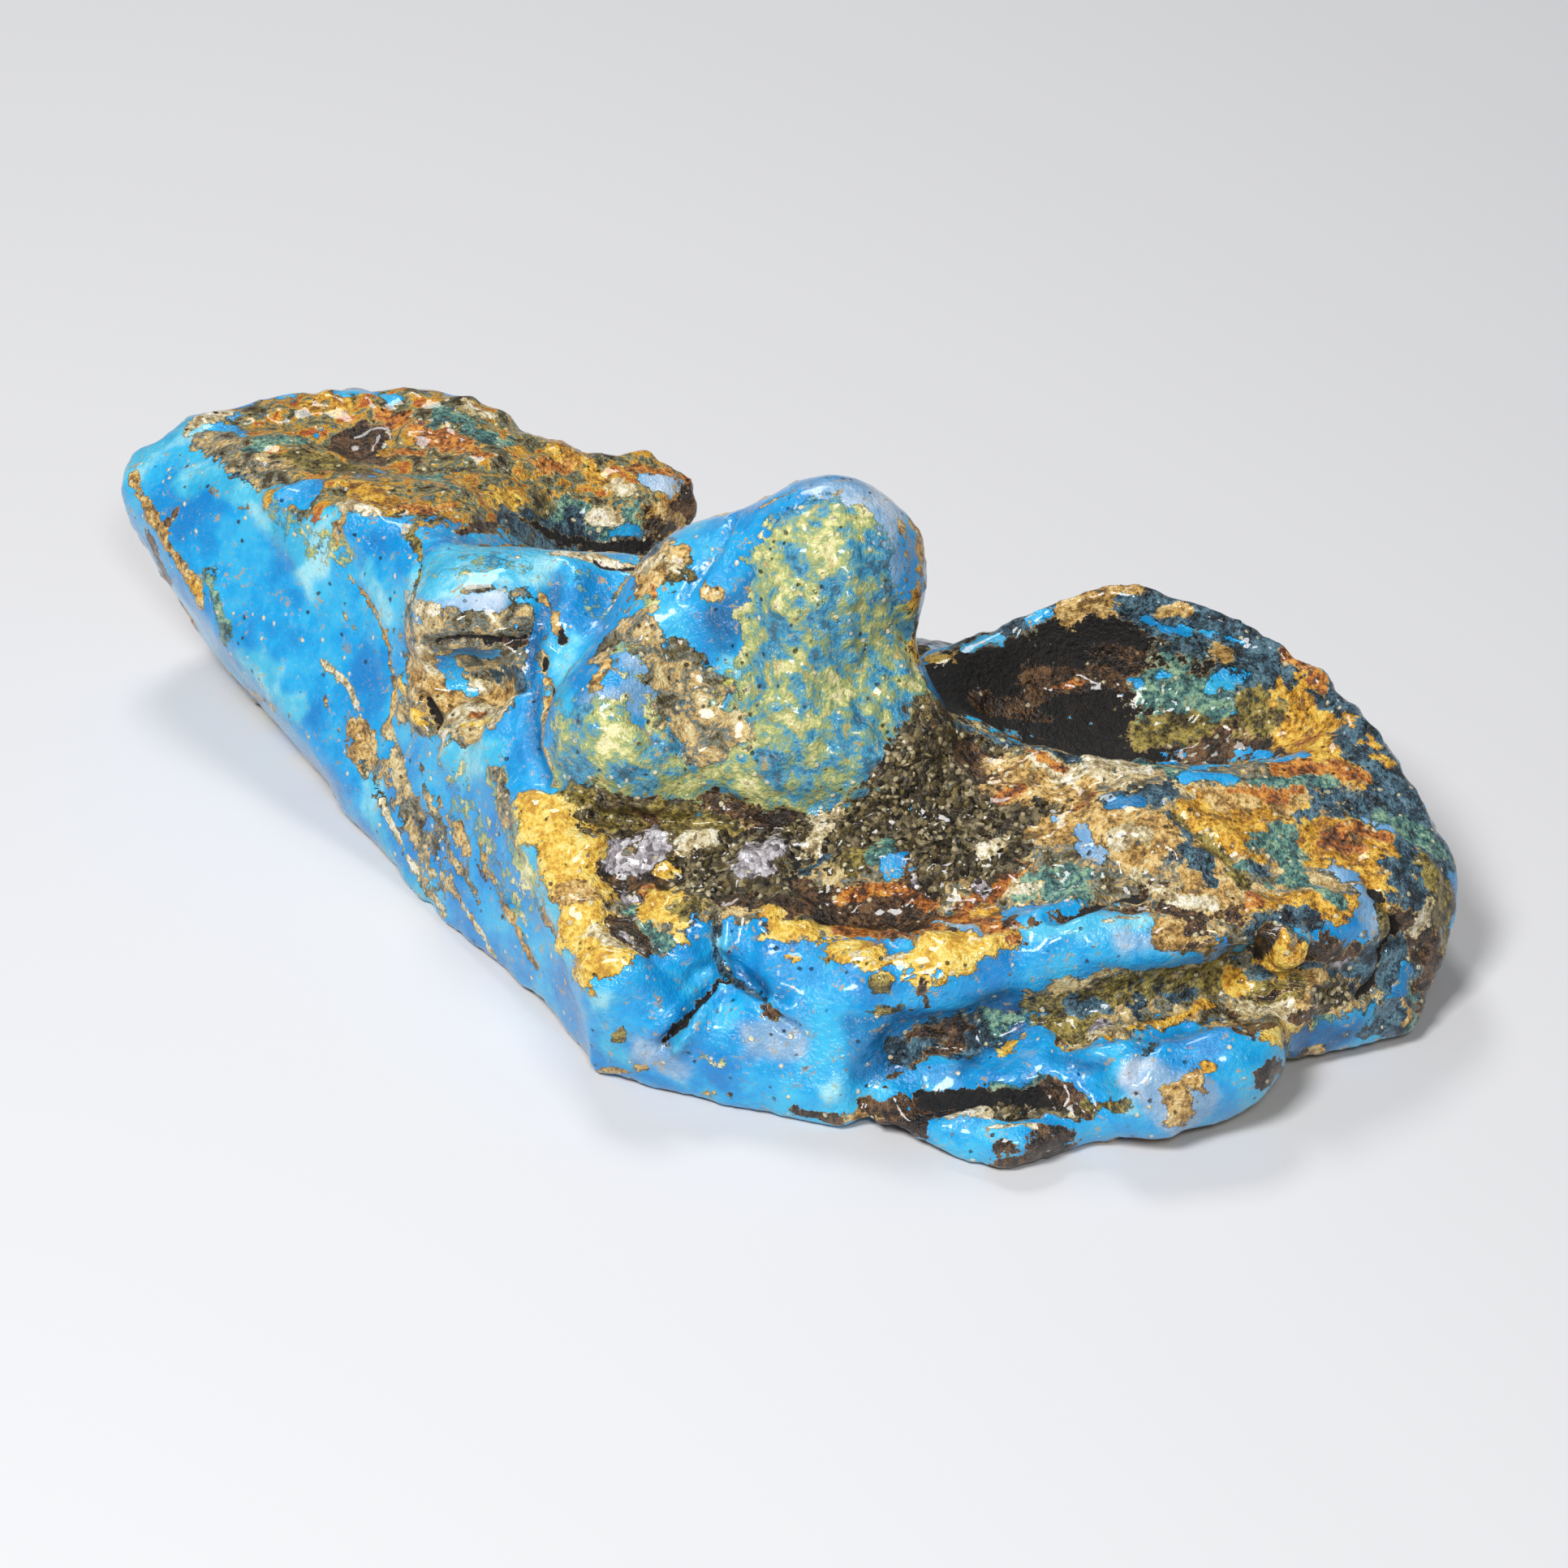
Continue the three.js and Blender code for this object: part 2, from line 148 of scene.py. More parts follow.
def uneven(size, octaves=3, seed=0, drawn_out=(1, 1, 1)):
    """A smooth random height for each point of the skin, mostly between -1 and 1.

    Its swells are this many mm wide.
    """
    shift = Vector((17.3, 5.1, 9.7)) * (seed + 1)
    scale = Vector(drawn_out) / size
    return np.array([noise.fractal(p * scale + shift, 0.8, 2.0, octaves) for p in place_vectors])


def grains(size, seed=0):
    """Round grains about this many mm across: 1 in the middle of each, 0 between them."""
    shift = Vector((3.1, 8.7, 5.3)) * (seed + 1)
    near = np.array([noise.voronoi(p / size + shift)[0][:2] for p in place_vectors])
    return np.clip((near[:, 1] - near[:, 0]) * 1.6, 0, 1)


def spread(values, passes):
    """Values evened out over neighbouring points of the skin."""
    shares = np.bincount(links.ravel(), minlength=count)
    for _ in range(passes):
        sums = np.bincount(links[:, 0], values[links[:, 1]], count)
        sums += np.bincount(links[:, 1], values[links[:, 0]], count)
        values = (values + sums) / (shares + 1)
    return values


def slope(values, low, high):
    """0 below low, 1 above high and a smooth rise between."""
    share = np.clip((values - low) / (high - low), 0, 1)
    return share * share * (3 - 2 * share)


# The finishes
# Weathering and host rock colour the skin. Each finish has a dark, a middle and a light tone,
# and the mixed ones have more, given as red, green and blue from 0 to 255. The material mottles
# a finish's tones together, in the order given.
FINISHES = {
    "azure": ((6, 130, 202), (14, 162, 226), (60, 190, 234)),
    "deep": ((6, 66, 112), (8, 106, 164), (20, 138, 198)),
    "cyan": ((40, 168, 214), (84, 194, 226), (164, 224, 234)),
    "lilac": ((92, 146, 190), (134, 174, 208), (196, 212, 228)),
    "moss": ((60, 108, 130), (50, 144, 188), (84, 156, 180), (122, 164, 150), (148, 166, 116),
             (176, 184, 114), (208, 206, 132), (240, 232, 176)),
    "teal": ((38, 72, 74), (84, 136, 130), (156, 190, 152)),
    "slate": ((16, 30, 38), (46, 80, 98), (98, 134, 150)),
    "olive": ((48, 40, 20), (116, 100, 40), (180, 160, 80)),
    "sandy": ((58, 48, 32), (130, 112, 60), (94, 128, 138), (194, 154, 88), (212, 180, 114), (234, 216, 164)),
    "ochre": ((120, 88, 42), (204, 158, 80), (242, 210, 142)),
    "medley": ((44, 34, 18), (116, 94, 34), (98, 136, 124), (196, 150, 54), (230, 172, 40), (180, 90, 28)),
    "gold": ((136, 88, 16), (222, 160, 34), (250, 210, 92)),
    "yellow": ((204, 150, 44), (246, 202, 76), (254, 230, 136)),
    "lime": ((140, 146, 62), (204, 208, 108), (244, 242, 184)),
    "cream": ((158, 134, 92), (222, 204, 156), (252, 246, 226)),
    "rust": ((80, 44, 16), (184, 104, 34), (230, 162, 66)),
    "brown": ((24, 16, 10), (62, 42, 24), (122, 88, 54)),
    "black": ((5, 5, 5), (12, 10, 9), (30, 24, 20)),
    "pepper": ((20, 17, 13), (78, 68, 49), (164, 148, 108)),
    # Pale crystal; its near-white light tone is a painted glint.
    "silver": ((70, 60, 62), (190, 182, 188), (255, 253, 255)),
}
CLEAN = ("azure", "deep", "cyan", "lilac")
MIXED = ("sandy", "medley")
GRAINY = ("pepper", "silver")
FULL_COVER = 0.88  # flecks of blue show through the crust
EDGE = 2.2  # mm over which one finish gives way to the next
CLEAN_EDGE = 0.8  # mm, the same for a clean blue
RAGGED = 1.5  # mm that a patch's edge can wander
FLANK = 0.8  # mm over which a mark rises
GROOVE = -0.3  # mm of rise below which a mark is a groove with a sharp edge and raised lips
LIPS = 0.22  # of a groove's depth that its lips stand up
LIP_CREST = 1.3  # half widths from the groove's middle
LIP_FOOT = 2.5
GROOVE_WANDER = 0.4  # of half a width
PATCH_WANDER = 1.3
GROOVE_EDGE = 0.8
PATCH_EDGE = 1.4
STREAK = (0.6, 1.0, 1.0)  # patches are drawn out along the lump

cover = {finish: np.zeros(count) for finish in FINISHES}
cover["azure"][:] = 1
rise = np.zeros(count)
edges = [uneven(2.2, 4, seed, STREAK) for seed in range(4)]


def cover_with(finish, share):
    """Lays a finish over what is there, as paint is laid."""
    for layer in cover.values():
        layer *= 1 - share
    cover[finish] += share


def curve_through(pixels, steps=10):
    """The pixels of a smooth line through the given ones."""
    points = [np.array(p, float) for p in (pixels[0], *pixels, pixels[-1])]
    line = []
    for a, b, c, d in zip(points, points[1:], points[2:], points[3:]):
        for t in np.arange(steps) / steps:
            bend = 2 * b + (c - a) * t + (2 * a - 5 * b + 4 * c - d) * t**2 + (3 * b - a - 3 * c + d) * t**3
            line.append(bend / 2)
    line.append(points[-1])
    return line


def drawn_on_skin(pixels):
    """The points of the skin, in mm, that the line through the given pixels falls on."""
    hits = [surface.ray_cast(eye, sight_line(*p))[0] for p in curve_through(pixels)]
    return np.array([tuple(h) for h in hits if h is not None])


def lay(marks, fullest=FULL_COVER):
    """Lays marks on the skin in turn.

    Each has a finish, half a width and a rise in mm, and the pixels that its line runs through.
    """
    for number, (finish, half_width, height, *pixels) in enumerate(marks.values()):
        line = drawn_on_skin(pixels)
        if not len(line):
            continue
        groove = height < GROOVE
        reach = half_width * LIP_FOOT + RAGGED + EDGE
        inside = np.all((places > line.min(0) - reach) & (places < line.max(0) + reach), axis=1)
        index = np.flatnonzero(inside)
        gap = np.full(len(index), np.inf)
        for point in line:
            gap = np.minimum(gap, np.linalg.norm(places[index] - point, axis=1))
        wander_share = GROOVE_WANDER if groove else PATCH_WANDER
        edge_share = GROOVE_EDGE if groove else PATCH_EDGE
        wander = edges[number % len(edges)][index] * min(RAGGED, half_width * wander_share)
        depth = half_width - gap + wander
        edge = min(CLEAN_EDGE if finish in CLEAN else EDGE, half_width * edge_share)
        share = np.zeros(count)
        share[index] = slope(depth, -edge / 2, edge / 2) * (1 if finish in CLEAN or groove else fullest)
        cover_with(finish, share)
        flank = min(FLANK, half_width)
        rise[index] += height * slope(depth, -flank, flank / 2)
        if groove:
            lip = slope(depth, -LIP_FOOT * half_width, -LIP_CREST * half_width)
            lip *= 1 - slope(depth, -half_width, 0)
            rise[index] -= LIPS * height * lip


# The sides that the photograph doesn't show
# The same resin and crust run round to the back and underneath. Nothing shows how they lie
# there, so they are laid in patches that follow no mark.
SIGHT_SLACK = 0.5  # mm that a point may lie behind the nearest skin and still be seen
SIGHT_BLUR = 12  # passes over neighbouring points
PATCH_OCTAVES = 5
PATCH_BORDER = 0.04
WELL_HIDDEN = (0.3, 0.7)


def in_sight(point):
    """1 for a point of the skin that the camera sees and 0 for any other."""
    to_point = point - eye
    nearest = surface.ray_cast(eye, to_point.normalized())[3]
    return 1.0 if nearest is None or nearest > to_point.length - SIGHT_SLACK else 0.0


hidden = 1 - spread(np.array([in_sight(p) for p in place_vectors]), SIGHT_BLUR)
# Each patch has a finish, a size in mm, the noise's height above which it lies, and a seed.
UNSEEN_PATCHES = (
    ("cyan", 10, 0.15, 11), ("deep", 9, 0.2, 12), ("sandy", 15, 0.0, 13), ("medley", 13, 0.12, 14),
    ("moss", 9, 0.28, 15), ("slate", 8, 0.34, 16), ("gold", 6, 0.42, 17), ("brown", 7, 0.42, 18),
    ("cream", 5, 0.48, 19), ("rust", 5, 0.5, 20))
for finish, size, level, seed in UNSEEN_PATCHES:
    patch = slope(uneven(size, PATCH_OCTAVES, seed), level - PATCH_BORDER, level + PATCH_BORDER)
    cover_with(finish, patch * slope(hidden, *WELL_HIDDEN))

# The crust's bed
# Broad sheets of weathered resin and sand that the smaller patches lie on: gold and rusty ones
# on the wing, green ones over the knob, sandy ones in the niche, on the shelf and at the right,
# and slate blue ones round the bowl.
BED = {
    "on the wing's front": (
        "medley", 2.6, 0, (330, 588), (400, 596), (470, 604), (540, 606), (600, 606), (650, 615)),
    "down the wing's front rim": (
        "medley", 1.5, 0, (330, 612), (400, 628), (470, 636), (540, 634), (600, 630), (660, 642)),
    "in the niche": (
        "sandy", 3.2, 0, (530, 775), (570, 790), (610, 810), (620, 850), (590, 880), (545, 850)),
    "down the knob": ("moss", 4.2, 0, (1030, 690), (1010, 770), (1000, 840), (975, 900), (990, 940)),
    "on the knob's right": ("moss", 3.0, 0, (1075, 820), (1080, 880), (1060, 930)),
    "on the knob's belly": ("moss", 3.0, 0, (720, 930), (780, 935), (850, 930), (910, 940)),
    "on the knob's lobe": ("moss", 3.0, 0, (820, 800), (840, 850), (890, 890)),
    "behind the trough": ("sandy", 2.2, 0, (1060, 1110), (1130, 1100), (1200, 1095), (1270, 1080)),
    "under the knob": ("sandy", 4.5, 0, (760, 1090), (840, 1090), (920, 1090), (1000, 1090)),
    "below the ledge": (
        "sandy", 2.6, 0, (1240, 1262), (1300, 1250), (1370, 1235), (1440, 1220), (1500, 1205)),
    "on the right end": ("sandy", 3.6, 0, (1560, 1120), (1640, 1170), (1700, 1150), (1740, 1100)),
    "down the right end": ("sandy", 2.4, 0, (1540, 1240), (1590, 1235), (1640, 1215)),
    "on the shelf": (
        "sandy", 4.6, 0, (1250, 1010), (1330, 1010), (1420, 1040), (1500, 1060),
        (1600, 1060), (1700, 1050)),
    "behind the shelf": (
        "sandy", 3.0, 0, (1300, 965), (1400, 985), (1500, 990), (1600, 1000), (1700, 1015)),
    "gold on the shelf": ("gold", 2.8, 0, (1500, 1010), (1560, 1015), (1640, 1035), (1700, 1050)),
    "on the bowl's lip": (
        "sandy", 1.2, 0, (1160, 890), (1210, 903), (1275, 926), (1340, 938), (1450, 955), (1640, 962)),
    "round the bowl's rim": (
        "slate", 2.4, 0, (1130, 790), (1220, 780), (1300, 750), (1390, 740), (1480, 775), (1560, 810)),
    "down the bowl's outside": (
        "slate", 2.6, 0, (1600, 830), (1640, 870), (1680, 930), (1720, 985), (1745, 1040)),
}
lay(BED)

# The wing
# A long tongue of resin reaching to the left and back: smooth bright blue on its front face,
# with a mosaic of weathered crust on its top and a blunt broken end.
WING = {
    "crust along the middle": (
        "medley", 4.2, 0, (330, 555), (400, 560), (480, 560), (560, 575), (650, 575), (780, 592)),
    "crust along the back": (
        "medley", 3.6, 0, (320, 530), (380, 505), (450, 500), (540, 510), (640, 530), (740, 560)),
    "blue front of the tip": ("azure", 2.4, 0, (180, 620), (205, 580), (235, 550), (262, 540)),
    "pale crown of the tip": ("cyan", 1.1, 0.1, (165, 590), (185, 560), (215, 540), (250, 520)),
    "cream on the tip's crown": ("cream", 0.5, 0.1, (232, 532), (262, 515), (285, 505)),
    "light upper edge": ("cyan", 1.2, 0.1, (240, 590), (270, 585), (305, 603), (345, 650), (395, 700)),
    "ochre streak down the tip": (
        "ochre", 0.4, 0.05, (165, 585), (177, 616), (190, 642), (217, 685), (240, 722), (248, 745)),
    "gold in the streak": ("gold", 0.35, 0.05, (234, 715), (246, 742)),
    "brown edge under the tip": ("brown", 0.8, 0, (186, 672), (203, 710), (222, 750), (239, 778)),
    "teal under the tip": ("teal", 0.6, 0, (256, 715), (266, 745), (275, 775)),
    "brown blot": ("brown", 0.3, 0, (206, 642), (216, 632)),
    "dark chips": ("slate", 0.45, -0.15, (300, 582), (318, 594), (328, 590)),
    "yellow wart": ("gold", 0.55, 0.4, (337, 622), (350, 616)),
    "knuckle by the wart": ("azure", 0.9, 0.25, (374, 612), (388, 604)),
    "second knuckle": ("cyan", 0.9, 0.3, (398, 650), (412, 640), (424, 646)),
    "ochre in the second knuckle": ("ochre", 0.4, 0, (422, 656), (436, 649)),
    "third knuckle": ("azure", 0.8, 0.3, (440, 655), (455, 645), (468, 650)),
    "gold at the back edge": ("gold", 0.9, 0.2, (385, 496), (405, 490), (424, 496)),
    "blue at the back edge": ("azure", 0.7, 0, (432, 486), (458, 486), (482, 492)),
    "rust at the back edge": ("rust", 0.7, 0.1, (470, 508), (498, 516)),
    "dark hollow": ("brown", 1.5, -0.35, (425, 548), (447, 538), (452, 560)),
    "gold on the front rim": ("gold", 1.0, 0.2, (425, 598), (448, 608), (482, 626)),
    "yellow chip": ("gold", 0.45, 0.1, (476, 552), (492, 560)),
    "rust chip": ("rust", 0.5, 0.1, (498, 560), (520, 562)),
    "rust streak": ("rust", 0.8, 0.1, (520, 535), (548, 540), (580, 560), (600, 566)),
    "grey-green slab": ("teal", 0.9, 0, (505, 586), (535, 590), (562, 600)),
    "rust on the front rim": ("rust", 0.45, 0, (500, 622), (528, 628), (552, 622)),
    "cream rim": ("cream", 0.35, 0.1, (408, 620), (436, 628), (468, 638)),
    "green by the back": ("teal", 0.8, 0, (540, 515), (575, 522), (610, 540)),
    "cream by the back": ("cream", 0.6, 0.1, (575, 505), (600, 515)),
    "gold middle": ("gold", 1.2, 0.1, (580, 600), (612, 615), (640, 622)),
    "rust far middle": ("rust", 0.9, 0.1, (655, 570), (680, 572), (700, 580)),
    "gold far middle": ("gold", 0.8, 0.1, (690, 560), (720, 570), (738, 590)),
    "pale slab at the end": ("cream", 0.7, 0, (752, 590), (770, 600)),
    "blue wall of the end": ("teal", 1.4, 0, (700, 640), (730, 645), (775, 640)),
    "azure in the wall": ("azure", 0.9, 0.1, (758, 655), (780, 660), (795, 664)),
    # Painted shade at the left of the end wall, in the hollow behind the ridge.
    "painted shade at the wall's left": ("slate", 0.8, 0, (700, 622), (712, 632)),
    "pale lens in the wall": ("cream", 0.7, 0.1, (728, 648), (745, 640)),
    "salmon at the end": ("rust", 0.8, 0.1, (795, 575), (815, 580), (834, 588)),
    "grey-blue at the end": ("lilac", 0.6, 0, (808, 596), (836, 602)),
    # Partly a real broken end, partly painted shade on the wall that faces away from the light.
    "broken end with painted shade": ("brown", 1.4, -0.2, (812, 655), (838, 640), (858, 625)),
    "ochre in the broken end": ("ochre", 0.6, 0.1, (822, 625), (842, 640)),
    "grey crust behind the tip": ("sandy", 1.3, 0, (262, 545), (290, 555), (325, 572), (350, 590)),
    "olive before the hollow": ("olive", 1.1, 0, (355, 562), (405, 574), (452, 584)),
    "grey-green by the crown": ("teal", 0.8, 0, (298, 556), (335, 545), (370, 540)),
}
lay(WING)

# The left face
# A broad smooth wall of clean blue resin, with thin seams of crust where it folded as it set.
LEFT_FACE = {
    "pale foot of the face": ("cyan", 1.2, 0, (300, 815), (330, 838), (350, 862)),
    "tan edge of the foot": ("ochre", 0.45, 0, (312, 855), (336, 870)),
    "long seam": (
        "ochre", 0.2, -0.15, (427, 705), (455, 741), (471, 772), (480, 819), (486, 851),
        (478, 897), (496, 935), (505, 980)),
    "seam's brown lower end": ("brown", 0.15, -0.1, (505, 960), (515, 1000), (535, 1050)),
    "short seam": ("ochre", 0.15, -0.1, (386, 716), (412, 742), (436, 772), (461, 804)),
    "cream dashes": ("cream", 0.2, 0, (398, 815), (427, 841), (442, 876), (457, 915)),
    "pale ripple": ("cyan", 0.35, 0.1, (350, 660), (372, 700), (382, 735)),
    "pale ripple on the right": ("cyan", 0.6, 0.15, (455, 690), (462, 730), (475, 765)),
    "cream and ochre at the bend": ("ochre", 0.8, 0.05, (436, 900), (452, 920), (468, 945)),
    "ochre threads": ("ochre", 0.15, 0, (400, 860), (420, 905), (450, 960), (470, 1000)),
    "lower cyan": ("cyan", 1.1, 0, (455, 1000), (480, 1060), (520, 1110), (560, 1150)),
    "second facet": ("azure", 2.2, 0, (520, 940), (560, 1010), (600, 1080), (650, 1150)),
    "brown line in the second facet": (
        "brown", 0.12, -0.1, (560, 990), (575, 1040), (600, 1090), (625, 1140)),
    "ochre line by it": (
        "ochre", 0.2, -0.1, (620, 975), (632, 1020), (660, 1080), (680, 1150), (695, 1210)),
    "pale fold": ("cyan", 0.7, 0.2, (640, 1010), (660, 1060), (690, 1130), (705, 1190)),
    "tan lower rim": ("ochre", 0.45, 0, (690, 1290), (730, 1318), (770, 1318), (800, 1312)),
    "stain down the fold": ("sandy", 0.5, 0, (478, 900), (492, 950), (508, 1010), (530, 1060)),
    "stain beside it": ("sandy", 0.35, 0, (520, 950), (535, 1000), (560, 1060), (590, 1110)),
    "tan drips": ("ochre", 0.3, 0, (585, 1020), (600, 1070), (630, 1130), (660, 1190)),
    "cream drips": ("cream", 0.2, 0, (545, 1080), (580, 1130), (610, 1180)),
    "green stain": ("moss", 0.8, 0, (600, 940), (615, 980), (630, 1030), (660, 1090)),
    "dirt under the niche": ("sandy", 0.5, 0, (598, 915), (612, 950), (622, 1000), (640, 1050)),
    "tan haze at the bend": ("ochre", 0.5, 0, (540, 985), (556, 1010), (575, 1045)),
    "cream flecks at the foot": ("cream", 0.25, 0, (470, 985), (490, 1030), (515, 1080), (545, 1125)),
}
lay(LEFT_FACE)

# The niche
# A pocket beside the wing, where sand and bark stuck to the resin and left a pale crust
# round a dark crack, with two curled yellow scales at its lower edge.
NICHE = {
    "pale crust": ("cream", 0.8, 0.1, (530, 810), (560, 840), (600, 860)),
    "ochre crust on the left": ("ochre", 1.2, 0.15, (498, 770), (512, 810), (530, 850)),
    "tan crust above": ("sandy", 1.2, 0.15, (530, 760), (565, 765), (610, 768), (655, 770)),
    # Partly a painted highlight: pale lilac where the ridge lump above shines.
    "lilac with a painted highlight above": ("lilac", 0.9, 0.1, (530, 735), (570, 740), (610, 745)),
    "blue chips": ("azure", 0.6, 0, (553, 812), (560, 835), (572, 855)),
    "blue chips on the right": ("deep", 0.5, -0.1, (570, 802), (590, 806), (615, 800)),
    "slate swirl": ("slate", 0.65, 0, (612, 832), (632, 828), (642, 848), (622, 858)),
    "crack": ("black", 0.22, -0.6, (538, 792), (574, 785), (606, 789), (636, 789), (658, 778)),
    "brown beside the crack": ("brown", 0.4, -0.2, (630, 796), (650, 790), (662, 786)),
    "hole": ("black", 0.4, -1.0, (524, 864), (532, 880), (538, 892)),
    "cream ledge": ("ochre", 0.9, 0.1, (565, 868), (600, 866), (630, 850)),
    "narrow scale": ("yellow", 0.4, 0.35, (499, 845), (510, 870), (526, 893)),
    "curled scale": ("cream", 0.7, 0.6, (551, 930), (562, 908), (580, 892), (602, 884), (619, 888)),
    "scale's yellow heart": ("yellow", 0.3, 0.1, (575, 905), (600, 897), (612, 893)),
    "rust in the scale": ("rust", 0.2, 0, (588, 893), (602, 888)),
    "blue below the scales": ("cyan", 1.2, 0.1, (560, 945), (590, 935), (620, 925)),
}
lay(NICHE)

# The ridge and the fold
# The resin ran down in two thick folds between the wing and the knob. Tan veins full of
# pores mark where one flow lay on the next.
FOLD = {
    "ridge lump": ("cyan", 2.6, 0, (545, 700), (590, 690), (640, 690)),
    "yellow vein round the ridge": (
        "olive", 0.25, -0.1, (500, 648), (516, 680), (512, 720), (500, 757), (484, 776)),
    "speckled cream under the ridge": ("cream", 0.35, 0, (500, 735), (520, 750), (540, 752)),
    "brown streak on the ridge": ("brown", 0.3, -0.1, (567, 656), (590, 650), (617, 643)),
    # Painted shade: a slate band and a black line stand for the shade in the hollow behind the ridge.
    "painted shade on the back of the ridge": ("slate", 1.0, 0, (613, 634), (660, 652), (705, 668), (760, 676), (810, 677)),
    "painted shadow line behind the ridge": ("black", 0.4, 0, (640, 640), (690, 662), (747, 672), (800, 674)),
    "cream streak over the fold": ("cream", 0.45, 0.1, (685, 682), (722, 688), (765, 698), (795, 702)),
    "crack in the streak": ("black", 0.15, -0.4, (735, 695), (768, 701), (800, 700)),
    "cream bump by the knob": ("ochre", 1.2, 0.15, (795, 722), (815, 705), (835, 688)),
    "cream on the bump": ("cream", 0.5, 0.1, (800, 700), (818, 694), (832, 700)),
    "olive corner": ("olive", 0.9, -0.1, (832, 745), (838, 725), (850, 712)),
    "rust on the bump": ("rust", 0.4, 0, (805, 730), (818, 728)),
    "deep blue fold": ("azure", 1.0, 0.2, (712, 708), (708, 740), (700, 770)),
    "deep blue gutter": ("deep", 0.5, -0.35, (686, 705), (680, 735), (668, 765), (655, 800), (650, 840)),
    "tan vein": (
        "ochre", 0.3, 0, (669, 735), (684, 760), (685, 797), (672, 826), (679, 857),
        (667, 904), (676, 935), (680, 962)),
    "pale band by the vein": ("cyan", 0.8, 0.15, (702, 795), (696, 830), (697, 870), (703, 900)),
    "tan patch on the fold": ("sandy", 1.0, 0.1, (745, 800), (770, 785), (800, 772)),
    "tan patch's lower lobe": ("ochre", 0.7, 0.05, (740, 830), (752, 815)),
    "pink lobe": ("ochre", 0.8, 0.1, (800, 800), (812, 815), (808, 835)),
    "blue eye": ("deep", 0.5, 0, (803, 758), (820, 764)),
    "pale sheen lobe": ("lilac", 0.8, 0.1, (775, 815), (790, 822)),
    "blue between the folds": ("azure", 0.6, 0, (650, 870), (645, 910), (655, 950)),
    "gutter left of the vein": ("deep", 0.35, -0.4, (660, 850), (655, 890), (662, 930), (672, 960)),
    "pore in the vein": ("black", 0.22, -0.5, (693, 778), (694, 790)),
    "second pore": ("black", 0.22, -0.5, (672, 812), (670, 826)),
    "third pore": ("black", 0.15, -0.4, (681, 848), (681, 856)),
    "pore in the pink lobe": ("black", 0.2, -0.4, (809, 822), (812, 830)),
}
lay(FOLD)

